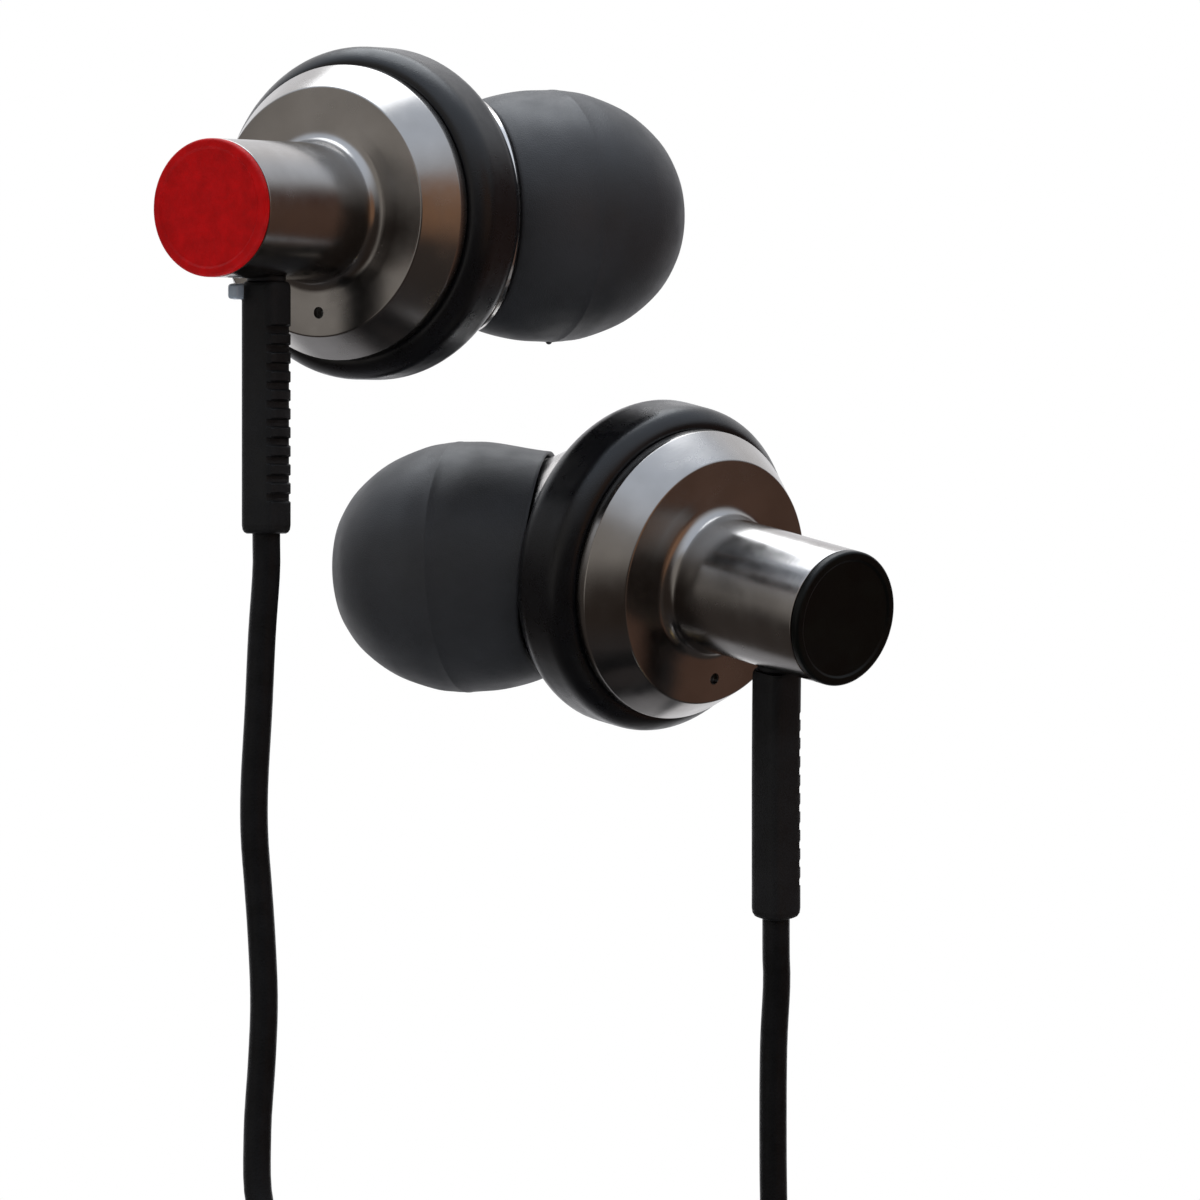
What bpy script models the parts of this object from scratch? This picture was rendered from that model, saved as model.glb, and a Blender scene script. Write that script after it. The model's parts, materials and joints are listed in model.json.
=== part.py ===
"""Wired in-ear earphones: two angled metal earphones on a split cord with a 3.5 mm plug.

Metres, +Z up. The origin is the mouth of the right ear tip, which is where an ear holds the pair.
Each earphone is modelled in its own frame, in millimetres: z runs along the stem from the middle of
the bumper ring towards the end cap, and the cord leaves towards -y. The nozzle leans towards +x on
the right earphone and towards -x on the left one.
"""

import math

import bmesh
import bpy
from mathutils import Matrix, Vector

MM = 0.001

# Housing
RING_BORE_RADIUS = 6.65
RING_CROWN = 1.2
RING_WIDTH = 3.8
RING_FLAT = 2.06
RING_CLEARANCE = 0.1
SEAM_GAP = 0.05
SHELL_WALL = 0.5
SHELL_SEAM_Z = -0.2
RIM_LIP = 0.3
RIM_WIDTH = 0.55
CHAMFER_WIDTH = 1.07
CHAMFER_DEPTH = 1.77
FACE_WALL = 0.62
STEM_RADIUS = 3.23
STEM_WALL = 0.6
STEM_LENGTH = 8.3
STEM_FILLET = 0.67
VENT_RADIUS = 0.28
VENT_FROM_EDGE = 1.13
CAP_THICKNESS = 0.42
CAP_DISH = 0.08
CAP_LIP = 0.35
CAP_CORNER = 0.13
CAP_PLUG_LENGTH = 0.9

# Nozzle and ear tip
NOZZLE_ANGLE = math.radians(30)
NOZZLE_ELBOW_Z = -1.0
SEAT_INSET = 1.13
SEAT_EDGE = 0.3
SEAT_LIFT = 0.107
NOZZLE_RADIUS = 2.6
NOZZLE_BORE_RADIUS = 1.8
NOZZLE_LENGTH = 5.15
BARB_RADIUS = 2.85
BARB_LENGTH = 1.2
MESH_INSET = 0.6
TIP_GAP = 0.15
TIP_RADIUS = 6.0
TIP_LENGTH = 9.8
TIP_WALL = 0.55
TIP_MOUTH_RADIUS = 2.1
TIP_CORE_WALL = 0.55
TIP_BORE_CLEARANCE = 0.1
TIP_CORE_START = 0.35
MESH_THICKNESS = 0.15

# Driver
DRIVER_CLEARANCE = 0.07
FRAME_DEPTH = 1.5
FRAME_LEDGE = 0.5
FRAME_WALL = 0.38
YOKE_FRONT_Z = -0.45
YOKE_WALL = 0.55
YOKE_DEPTH = 1.9
MAGNET_RADIUS = 2.9
MAGNET_THICKNESS = 0.9
PLATE_RADIUS = 3.05
PLATE_THICKNESS = 0.45
COIL_GAP = 0.15
COIL_OUTER_GAP = 0.2
VOICE_COIL_WALL = 0.3
VOICE_COIL_LENGTH = 1.05
DIAPHRAGM_WALL = 0.12
DIAPHRAGM_TRAVEL = 0.2
BOARD_RADIUS = 3.4
BOARD_THICKNESS = 0.3
BOARD_BORE_RADIUS = 1.2
SCREEN_RADIUS = 0.8
SCREEN_THICKNESS = 0.25
SCREEN_CLEARANCE = 0.15
WIRE_RADIUS = 0.18

# Strain relief, with the cord's exit at its end
RELIEF_FROM_FACE = 4.18
RELIEF_LENGTH = 11.8
RELIEF_WIDTH = 2.0
RELIEF_DEPTH = 1.9
RELIEF_CORNER = 0.75
RELIEF_NOTCHES = 10
RELIEF_NOTCH_PITCH = 0.87
RELIEF_NOTCH_START = 2.3
RELIEF_NOTCH_DEPTH = 0.3
NECK_RADIUS = 0.8
NECK_CLEARANCE = 0.1
ANCHOR_RADIUS = 1.15
ANCHOR_LENGTH = 1.15
MARKER_SIZE = (0.7, 0.8, 0.6)

# Cords and what is on them
BRANCH_RADIUS = 0.65
MAIN_RADIUS = 1.0
CORD_GAP = 0.3
FLOOR_Z = -65.5
COIL_CENTRE = Vector((-6.5, -4.0, 0.0))
COIL_INNER_RADIUS = 7.35
COIL_OUTER_RADIUS = 13.65
COIL_LIFT = 0.7
COIL_HEIGHT = 12.35
TIE_WIDTH = 3.0
TIE_WALL = 0.5
TIE_GAP = 0.1
TIE_ANGLE = math.radians(110)
PAIR_X = 7.5
PAIR_SPACING = 2.2
SLIDER_SIZE = (4.6, 6.0, 3.2)
SLIDER_BORE_CLEARANCE = 0.15
SLIDER_ROUNDING = 0.6
SLIDER_END_Y = 31.5
SPLITTER_START_Y = 32.8
SPLITTER_LENGTH = 10.2
SPLITTER_START_SIZE = (4.6, 3.1)
SPLITTER_END_SIZE = (3.2, 2.8)
PLUG_START_X = -8.6
PLUG_START_Y = -21.8
BOOT_LENGTH = 9.0
BOOT_START_RADIUS = 1.5
BOOT_END_RADIUS = 2.4
PLUG_BODY_RADIUS = 3.05
PLUG_BODY_LENGTH = 15.0
CONTACT_RADIUS = 1.75
SLEEVE_LENGTH = 6.6
CONTACT_RING_LENGTH = 2.4
INSULATOR_LENGTH = 0.6
INSULATOR_RADIUS = 1.65
CONTACT_TIP_LENGTH = 3.7

# Where each earphone hangs: turn about Z, stem end down, turn about the stem
RIGHT_POSE = (math.radians(-34.5), 0.0, 0.0)
LEFT_POSE = (math.radians(44.8), math.radians(11.4), math.radians(10.3))
LEFT_FROM_RIGHT = Vector((13.34, 5.0, -16.55))
# How far each front shell is turned in its rear one, with the nozzle and the ear tip
NOZZLE_TURNS = {"right": 0.0, "left": math.radians(14.5)}

# Sides of the round pieces
SIDES = 40
TIP_SIDES = 32
INNER_SIDES = 24
SMALL_SIDES = 16
# The holes' corners stay off the shell's own edges
VENT_SIDES = 13
CORD_HOLE_SIDES = 15

# Sizes and heights that follow from those above
RING_RADIUS = RING_BORE_RADIUS + RING_CROWN
SHELL_RADIUS = RING_BORE_RADIUS - RING_CLEARANCE
RIM_RADIUS = RING_BORE_RADIUS + RIM_LIP
CHAMFER_RADIUS = RIM_RADIUS - CHAMFER_WIDTH
RIM_Z = RING_WIDTH / 2 + SEAM_GAP
FACE_Z = RIM_Z + RIM_WIDTH + CHAMFER_DEPTH
STEM_END_Z = FACE_Z + STEM_LENGTH
STEM_BORE_RADIUS = STEM_RADIUS - STEM_WALL
DRIVER_BORE_RADIUS = SHELL_RADIUS - SHELL_WALL
VENT_OFFSET = CHAMFER_RADIUS - VENT_FROM_EDGE
SCREEN_OFFSET = CHAMFER_RADIUS - FACE_WALL - SCREEN_CLEARANCE - SCREEN_RADIUS
RELIEF_Z = FACE_Z + RELIEF_FROM_FACE
NOZZLE_SEAT_RADIUS = SHELL_RADIUS - SEAT_INSET
# The slanted seat clears the bumper ring where it comes nearest to it
SEAT_DROP = NOZZLE_SEAT_RADIUS * math.sin(NOZZLE_ANGLE) + NOZZLE_ELBOW_Z + RIM_Z + SEAT_LIFT
NOZZLE_SEAT = SEAT_EDGE + SEAT_DROP / math.cos(NOZZLE_ANGLE)
TIP_START = NOZZLE_SEAT + TIP_GAP
FRAME_RADIUS = DRIVER_BORE_RADIUS - DRIVER_CLEARANCE
DIAPHRAGM_RADIUS = FRAME_RADIUS - FRAME_WALL - RING_CLEARANCE
VOICE_COIL_RADIUS = PLATE_RADIUS + COIL_GAP
YOKE_BORE_RADIUS = VOICE_COIL_RADIUS + VOICE_COIL_WALL + COIL_OUTER_GAP
YOKE_RADIUS = YOKE_BORE_RADIUS + YOKE_WALL
PAIR_Z = FLOOR_Z + SLIDER_SIZE[2] / 2 + SEAM_GAP
PLUG_START = Vector((PLUG_START_X, PLUG_START_Y, FLOOR_Z + PLUG_BODY_RADIUS + SEAM_GAP))

# The cords' routes below the earphones, in millimetres, chosen by hand
RIGHT_UPPER = [
    (-18.73, -14.1, -19.86), (-18.89, -14.15, -23.37), (-19.08, -14.2, -26.87),
    (-19.08, -14.2, -29.2), (-18.91, -14.2, -31.54), (-18.75, -14.2, -33.87),
    (-18.63, -14.2, -36.91), (-18.73, -14.2, -39.71), (-18.94, -14.25, -43.21),
    (-18.8, -14.6, -46.5), (-17.6, -15.6, -49.2), (-15.0, -16.4, -51.0),
    (-11.9, -16.2, -51.5),
]
LEFT_UPPER = [
    (5.4, -5.3, -36.2), (5.26, -5.2, -39.5), (5.24, -5.3, -44.2),
    (5.3, -5.1, -47.6), (5.5, -3.6, -50.4), (5.2, -0.6, -51.5),
]
RIGHT_LOWER = [
    (7.7, 2.4, -54.5), (8.2, 5.2, -55.6), (8.5, 8.4, -57.7),
    (8.6, 11.6, -60.1), (8.6, 14.8, -62.5), (8.6, 17.6, -63.75),
    (8.6, 20.0, -63.85),
]
LEFT_LOWER = [
    (6.8, 2.6, -55.95), (6.8, 5.4, -57.0), (6.5, 8.6, -58.8),
    (6.4, 11.8, -60.8), (6.4, 15.0, -62.8), (6.4, 17.8, -63.75),
    (6.4, 20.0, -63.85),
]
MAIN_UPPER = [
    (7.3, 46.4, -64.3), (5.2, 49.7, -64.5), (1.8, 51.0, -64.5),
    (-1.7, 50.0, -64.5), (-4.3, 47.1, -64.5), (-6.2, 43.3, -64.5),
    (-8.5, 38.9, -64.5), (-11.0, 34.4, -64.5), (-13.5, 30.0, -64.5),
    (-15.6, 25.7, -64.5), (-17.2, 21.6, -64.5), (-18.3, 17.8, -64.2),
    (-18.9, 14.2, -63.0), (-19.2, 11.0, -61.3), (-19.2, 7.8, -59.6),
    (-19.15, 4.7, -58.1),
]
MAIN_LOWER = [
    (-20.35, -9.6, -63.9), (-20.6, -12.4, -64.3), (-20.0, -15.4, -64.5),
    (-18.3, -18.4, -64.4), (-15.8, -20.6, -63.9), (-13.0, -21.6, -63.1),
]

OBJECT = "wired_earphones"
SIDE_NAMES = {"right": 1, "left": -1}


def clear_scene():
    for obj in list(bpy.data.objects):
        bpy.data.objects.remove(obj)


def collection(name):
    made = bpy.data.collections.new(name)
    bpy.context.scene.collection.children.link(made)
    return made


def material(name, colour, roughness, metallic=0.0):
    """The named material, made the first time it is asked for."""
    made = bpy.data.materials.get(name)
    if made is None:
        made = bpy.data.materials.new(name)
        made.use_nodes = True
        shader = made.node_tree.nodes["Principled BSDF"]
        shader.inputs["Base Color"].default_value = (*colour, 1)
        shader.inputs["Roughness"].default_value = roughness
        shader.inputs["Metallic"].default_value = metallic
        made.diffuse_color = (*colour, 1)
    return made


def gunmetal():
    return material("gunmetal", (0.21, 0.19, 0.18), 0.22, 1.0)


def polished_steel():
    return material("polished_steel", (0.72, 0.70, 0.67), 0.15, 1.0)


def black_rubber():
    return material("black_rubber", (0.012, 0.012, 0.014), 0.4)


def tip_silicone():
    return material("tip_silicone", (0.032, 0.033, 0.036), 0.55)


def cord_jacket():
    return material("cord_jacket", (0.008, 0.008, 0.009), 0.5)


def black_plastic():
    return material("black_plastic", (0.015, 0.015, 0.016), 0.3)


def red_cap():
    return material("red_enamel", (0.42, 0.004, 0.006), 0.35)


def black_cap():
    return material("black_enamel", (0.012, 0.014, 0.012), 0.25)


def magnet_metal():
    return material("magnet_nickel", (0.45, 0.45, 0.46), 0.35, 1.0)


def copper():
    return material("copper", (0.72, 0.35, 0.18), 0.35, 1.0)


def film():
    return material("diaphragm_film", (0.55, 0.48, 0.3), 0.3)


def board():
    return material("terminal_board", (0.02, 0.14, 0.06), 0.5)


def felt():
    return material("damping_felt", (0.5, 0.5, 0.48), 0.95)


def marker_plastic():
    return material("marker_plastic", (0.3, 0.32, 0.34), 0.2)


def gold():
    return material("contact_gold", (0.83, 0.62, 0.25), 0.25, 1.0)


def add_object(name, data, surface, parent=None, into=OBJECT):
    """Links an object with this data, whose place is its parent's."""
    obj = bpy.data.objects.new(name, data)
    bpy.data.collections[into].objects.link(obj)
    if surface:
        data.materials.append(surface)
    obj.parent = parent
    return obj


def finish_mesh(bm, name):
    """The bmesh, in millimetres, as a mesh in metres."""
    bmesh.ops.scale(bm, vec=(MM, MM, MM), verts=bm.verts)
    mesh = bpy.data.meshes.new(name)
    bm.to_mesh(mesh)
    bm.free()
    mesh.shade_smooth()
    mesh.set_sharp_from_angle(angle=math.radians(35))
    return mesh


def turned(name, profile, surface, parent=None, sides=SIDES, closed=True, into=OBJECT):
    """A piece turned about z. The profile of (radius, z) runs down its outer side, then up inside."""
    mesh = bpy.data.meshes.new(name)
    edges = [(i, i + 1) for i in range(len(profile) - 1)]
    if closed:
        edges.append((len(profile) - 1, 0))
    mesh.from_pydata([(r * MM, 0, z * MM) for r, z in profile], edges, [])
    obj = add_object(name, mesh, surface, parent, into)
    screw = obj.modifiers.new("Turn", "SCREW")
    screw.steps = screw.render_steps = sides
    screw.use_merge_vertices = True
    screw.merge_threshold = 0.000002
    screw.use_smooth_shade = True
    return obj


def disc(name, radius, low, high, surface, parent=None, sides=INNER_SIDES, into=OBJECT):
    outline = [(0, high), (radius, high), (radius, low), (0, low)]
    return turned(name, outline, surface, parent, sides, closed=False, into=into)


def lofted(name, sections, surface, parent=None, capped=True):
    """A skin over sections with the same number of points. Without caps the last joins the first."""
    bm = bmesh.new()
    loops = [[bm.verts.new(point) for point in section] for section in sections]
    pairs = list(zip(loops, loops[1:]))
    if capped:
        bm.faces.new(loops[0])
        bm.faces.new(loops[-1])
    else:
        pairs.append((loops[-1], loops[0]))
    for low, high in pairs:
        for i in range(len(low)):
            j = (i + 1) % len(low)
            bm.faces.new((low[i], low[j], high[j], high[i]))
    bmesh.ops.recalc_face_normals(bm, faces=bm.faces)
    return add_object(name, finish_mesh(bm, name), surface, parent)


def rounded_box(name, size, rounding, surface, parent=None, place=(0, 0, 0)):
    bm = bmesh.new()
    bmesh.ops.create_cube(bm, size=1)
    bmesh.ops.scale(bm, vec=size, verts=bm.verts)
    bmesh.ops.bevel(
        bm, geom=bm.edges, offset=rounding, segments=2, affect="EDGES", profile=0.5, material=-1
    )
    bmesh.ops.translate(bm, vec=place, verts=bm.verts)
    return add_object(name, finish_mesh(bm, name), surface, parent)


def cut(obj, cutter):
    cutter.hide_render = True
    cutter.display_type = "WIRE"
    boolean = obj.modifiers.new("Cut " + cutter.name, "BOOLEAN")
    boolean.operation = "DIFFERENCE"
    boolean.object = cutter


def arc(centre, radius, start, end, steps):
    """Points on a circle in the profile plane, from one angle to the other in degrees."""
    angles = [math.radians(start + (end - start) * i / steps) for i in range(steps + 1)]
    return [(centre[0] + radius * math.cos(a), centre[1] + radius * math.sin(a)) for a in angles]


def smooth_route(points, spacing):
    """Evenly spaced points on a smooth curve through the route's points."""
    points = [Vector(p) for p in points]
    ends = [2 * points[0] - points[1]] + points + [2 * points[-1] - points[-2]]
    fine = [points[0]]
    for before, start, end, after in zip(ends, ends[1:], ends[2:], ends[3:]):
        for step in range(1, 13):
            t = step / 12
            fine.append(
                0.5 * (2 * start + (end - before) * t
                       + (2 * before - 5 * start + 4 * end - after) * t**2
                       + (3 * start - before - 3 * end + after) * t**3)
            )
    total = sum((b - a).length for a, b in zip(fine, fine[1:]))
    count = max(2, round(total / spacing))
    route, walked, wanted = [fine[0]], 0.0, 1
    for a, b in zip(fine, fine[1:]):
        length = (b - a).length
        while wanted < count and walked + length >= wanted * total / count:
            route.append(a.lerp(b, (wanted * total / count - walked) / length))
            wanted += 1
        walked += length
    return route + [fine[-1]]


def tube(name, points, radius, surface, parent=None, resolution=2):
    """A round solid along a route in millimetres."""
    curve = bpy.data.curves.new(name, "CURVE")
    curve.dimensions = "3D"
    curve.bevel_depth = radius * MM
    curve.bevel_resolution = resolution
    curve.use_fill_caps = True
    spline = curve.splines.new("POLY")
    spline.points.add(len(points) - 1)
    for point, place in zip(spline.points, points):
        point.co = (*(Vector(place) * MM), 1)
    return add_object(name, curve, surface, parent)


def empty(name, matrix, parent=None):
    obj = bpy.data.objects.new(name, None)
    obj.empty_display_size = 0.003
    bpy.data.collections[OBJECT].objects.link(obj)
    obj.parent = parent
    obj.matrix_local = matrix
    return obj


def pose_matrix(pose):
    """An earphone's turn. Level and facing the front, its stem points to -Y and its cord down."""
    yaw, pitch, roll = pose
    level = Matrix.Rotation(yaw, 4, "Z") @ Matrix.Rotation(math.pi / 2 + pitch, 4, "X")
    return level @ Matrix.Rotation(roll, 4, "Z")


def nozzle_direction(side):
    return Vector((side * math.sin(NOZZLE_ANGLE), 0, -math.cos(NOZZLE_ANGLE)))


def nozzle_place(side, along):
    """A point on the nozzle's axis, measured from the elbow."""
    return Vector((0, 0, NOZZLE_ELBOW_Z)) + nozzle_direction(side) * along


def earphone_frames():
    """Each earphone's matrix in millimetres, with the right ear tip's mouth at the origin."""
    right_turn = pose_matrix(RIGHT_POSE)
    right_centre = -(right_turn @ nozzle_place(1, TIP_START + TIP_LENGTH))
    left_centre = right_centre + LEFT_FROM_RIGHT
    return {
        "right": Matrix.Translation(right_centre) @ right_turn,
        "left": Matrix.Translation(left_centre) @ pose_matrix(LEFT_POSE),
    }


def relief_route(frame):
    """Centres along the strain relief in the earphone's frame: out of the stem, then hanging down."""
    down = (frame.to_3x3().inverted() @ Vector((0, 0, -1))).normalized()
    out = Vector((0, -1, 0))
    start = Vector((0, -STEM_RADIUS - NECK_CLEARANCE, RELIEF_Z))
    steps = 4 * (RELIEF_NOTCHES + 3)
    route = [start]
    for i in range(steps):
        share = min(1.0, 2 * (i + 0.5) / steps)
        route.append(route[-1] + out.lerp(down, share).normalized() * (RELIEF_LENGTH / steps))
    return route


def relief_exit(frame):
    """The cord's exit in the row frame and the way it leaves."""
    route = relief_route(frame)
    end, before = frame @ route[-1], frame @ route[-2]
    return end, (end - before).normalized()


def rounded_section(centre, width, depth, corner, notch=0.0):
    """Twelve points around one section across y. The +x side is pushed in by the notch."""
    points = []
    for quarter, (sx, sz) in enumerate(((1, 1), (-1, 1), (-1, -1), (1, -1))):
        for step in range(3):
            angle = math.radians(90 * quarter + 45 * step)
            x = sx * (width / 2 - corner) + corner * math.cos(angle)
            z = sz * (depth / 2 - corner) + corner * math.sin(angle)
            x = min(x, width / 2 - notch)
            points.append(centre + Vector((x, 0, z)))
    return points


def strain_relief(side_name, frame, parent):
    """The neck through the stem's wall, and the body with a notched side, in one moulding."""
    neck_corner = NECK_RADIUS * 0.95
    neck_width = 2 * NECK_RADIUS
    inside = STEM_BORE_RADIUS - 1.0
    sections = []
    for y in (inside, STEM_RADIUS + NECK_CLEARANCE):
        middle = Vector((0, -y, RELIEF_Z))
        sections.append(rounded_section(middle, neck_width, neck_width, neck_corner))
    route = relief_route(frame)
    step_length = RELIEF_LENGTH / (len(route) - 1)
    notch_half = RELIEF_NOTCH_PITCH / 4

    def place(along):
        index = min(along / step_length, len(route) - 1.001)
        return route[int(index)].lerp(route[int(index) + 1], index - int(index))

    def section(along, notch=0.0, shrink=0.0):
        width, depth = RELIEF_WIDTH - shrink, RELIEF_DEPTH - shrink
        return rounded_section(place(along), width, depth, RELIEF_CORNER - shrink / 2, notch)

    sections += [section(0.02, shrink=0.3), section(0.25)]
    for number in range(RELIEF_NOTCHES):
        middle = RELIEF_NOTCH_START + number * RELIEF_NOTCH_PITCH
        sections.append(section(middle - notch_half))
        sections.append(section(middle - notch_half * 0.6, RELIEF_NOTCH_DEPTH))
        sections.append(section(middle + notch_half * 0.6, RELIEF_NOTCH_DEPTH))
        sections.append(section(middle + notch_half))
    sections += [section(RELIEF_LENGTH - 0.25), section(RELIEF_LENGTH, shrink=0.3)]
    lofted(f"{side_name}_strain_relief", sections, black_rubber(), parent)


def rear_shell(side_name, parent):
    fillet_centre = (STEM_RADIUS + STEM_FILLET, FACE_Z + STEM_FILLET)
    inner_face_z = FACE_Z - FACE_WALL
    profile = [(STEM_RADIUS, STEM_END_Z)]
    profile += arc(fillet_centre, STEM_FILLET, 180, 270, 3)
    profile += [
        (CHAMFER_RADIUS, FACE_Z),
        (RIM_RADIUS, RIM_Z + RIM_WIDTH),
        (RIM_RADIUS, RIM_Z),
        (SHELL_RADIUS, RIM_Z),
        (SHELL_RADIUS, SHELL_SEAM_Z + SEAM_GAP / 2),
        (DRIVER_BORE_RADIUS, SHELL_SEAM_Z + SEAM_GAP / 2),
        (DRIVER_BORE_RADIUS, RIM_Z),
        (CHAMFER_RADIUS - FACE_WALL, inner_face_z),
        (STEM_BORE_RADIUS, inner_face_z),
        (STEM_BORE_RADIUS, STEM_END_Z),
    ]
    shell = turned(f"{side_name}_rear_shell", profile, gunmetal(), parent)
    name = f"{side_name}_vent_cutter"
    vent = disc(name, VENT_RADIUS, 0, 2, None, parent, VENT_SIDES, "cutters")
    vent.location = Vector((0, -VENT_OFFSET, FACE_Z - 1)) * MM
    name, radius = f"{side_name}_cord_hole_cutter", NECK_RADIUS + NECK_CLEARANCE
    cord_hole = disc(name, radius, 0, 3, None, parent, CORD_HOLE_SIDES, "cutters")
    cord_hole.rotation_euler = (math.pi / 2, 0, 0)
    cord_hole.location = Vector((0, -STEM_RADIUS + 1.5, RELIEF_Z)) * MM
    cut(shell, vent)
    cut(shell, cord_hole)


def end_cap(side_name, surface, parent):
    top = STEM_END_Z + SEAM_GAP + CAP_THICKNESS
    base = STEM_END_Z + SEAM_GAP
    plug = STEM_BORE_RADIUS - RING_CLEARANCE
    profile = [
        (0, top - CAP_DISH),
        (STEM_RADIUS - CAP_LIP - 0.1, top - CAP_DISH),
        (STEM_RADIUS - CAP_LIP, top),
        (STEM_RADIUS - CAP_CORNER, top),
        (STEM_RADIUS, top - CAP_CORNER),
        (STEM_RADIUS, base),
        (plug, base),
        (plug, base - CAP_PLUG_LENGTH),
        (0, base - CAP_PLUG_LENGTH),
    ]
    turned(f"{side_name}_end_cap", profile, surface, parent, closed=False)


def bumper_ring(side_name, parent):
    half, flat = RING_WIDTH / 2, RING_FLAT / 2
    crown = RING_RADIUS - RING_BORE_RADIUS
    upper = [
        (RING_BORE_RADIUS, half - 0.15),
        (RING_BORE_RADIUS + 0.2 * crown, half),
        (RING_BORE_RADIUS + 0.5 * crown, half - 0.06),
        (RING_BORE_RADIUS + 0.84 * crown, (half + flat) / 2),
        (RING_RADIUS, flat),
    ]
    profile = upper + [(r, -z) for r, z in reversed(upper)]
    turned(f"{side_name}_bumper_ring", profile, black_rubber(), parent)


def nozzle_ring(side, along, radius):
    """Points of a circle square to the nozzle's axis."""
    centre = nozzle_place(side, along)
    across = Vector((math.cos(NOZZLE_ANGLE), 0, side * math.sin(NOZZLE_ANGLE)))
    return tilted_circle(centre, across, radius)


def level_ring(z, radius):
    return tilted_circle(Vector((0, 0, z)), Vector((1, 0, 0)), radius)


def tilted_circle(centre, across, radius):
    points = []
    for i in range(TIP_SIDES):
        angle = 2 * math.pi * i / TIP_SIDES
        outward = math.cos(angle) * across + math.sin(angle) * Vector((0, 1, 0))
        points.append(centre + radius * outward)
    return points


def front_shell(side_name, side, parent):
    """The chamber in front of the driver, its slanted seat for the ear tip and the barbed nozzle."""
    seam = SHELL_SEAM_Z - SEAM_GAP / 2
    end = NOZZLE_SEAT + NOZZLE_LENGTH
    barb = end - BARB_LENGTH
    inside = NOZZLE_SEAT - SHELL_WALL
    sections = [
        level_ring(seam, SHELL_RADIUS),
        level_ring(-RIM_Z, SHELL_RADIUS),
        nozzle_ring(side, NOZZLE_SEAT - SEAT_EDGE, NOZZLE_SEAT_RADIUS),
        nozzle_ring(side, NOZZLE_SEAT, NOZZLE_SEAT_RADIUS - 0.7 * SEAT_EDGE),
        nozzle_ring(side, NOZZLE_SEAT, NOZZLE_RADIUS),
        nozzle_ring(side, barb, NOZZLE_RADIUS),
        nozzle_ring(side, barb + 0.15, BARB_RADIUS),
        nozzle_ring(side, barb + 0.7, BARB_RADIUS),
        nozzle_ring(side, end, NOZZLE_RADIUS - 0.1),
        nozzle_ring(side, end, NOZZLE_BORE_RADIUS),
        nozzle_ring(side, inside, NOZZLE_BORE_RADIUS),
        nozzle_ring(side, inside, NOZZLE_SEAT_RADIUS - 0.72),
        level_ring(-RIM_Z + 0.05, DRIVER_BORE_RADIUS - 0.05),
        level_ring(seam, DRIVER_BORE_RADIUS),
    ]
    lofted(f"{side_name}_front_shell", sections, polished_steel(), parent, capped=False)


def tip_outline():
    """Radius and distance from the base rim, down the outside from the mouth."""
    waist = TIP_RADIUS
    return [
        (TIP_MOUTH_RADIUS + 0.35, TIP_LENGTH),
        (0.5 * waist, 0.972 * TIP_LENGTH),
        (0.68 * waist, 0.888 * TIP_LENGTH),
        (0.855 * waist, 0.74 * TIP_LENGTH),
        (0.965 * waist, 0.56 * TIP_LENGTH),
        (waist, 0.4 * TIP_LENGTH),
        (0.965 * waist, 0.16 * TIP_LENGTH),
        (0.89 * waist, 0.0),
    ]


def ear_tip(side_name, parent):
    """A soft mushroom: a dome on a core tube that grips the nozzle's barb."""
    bore = BARB_RADIUS + TIP_BORE_CLEARANCE
    core = bore + TIP_CORE_WALL
    outside = tip_outline()
    inside = [(r - TIP_WALL, z) for r, z in reversed(outside[4:])]
    root = 0.78 * TIP_LENGTH
    profile = outside + inside + [
        (0.855 * TIP_RADIUS - TIP_WALL, 0.72 * TIP_LENGTH),
        (core, root),
        (core, TIP_CORE_START),
        (bore, TIP_CORE_START),
        (bore, 0.88 * TIP_LENGTH),
        (TIP_MOUTH_RADIUS, 0.91 * TIP_LENGTH),
        (TIP_MOUTH_RADIUS, TIP_LENGTH - 0.15),
    ]
    turned(f"{side_name}_ear_tip", profile, tip_silicone(), parent, TIP_SIDES)


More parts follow.
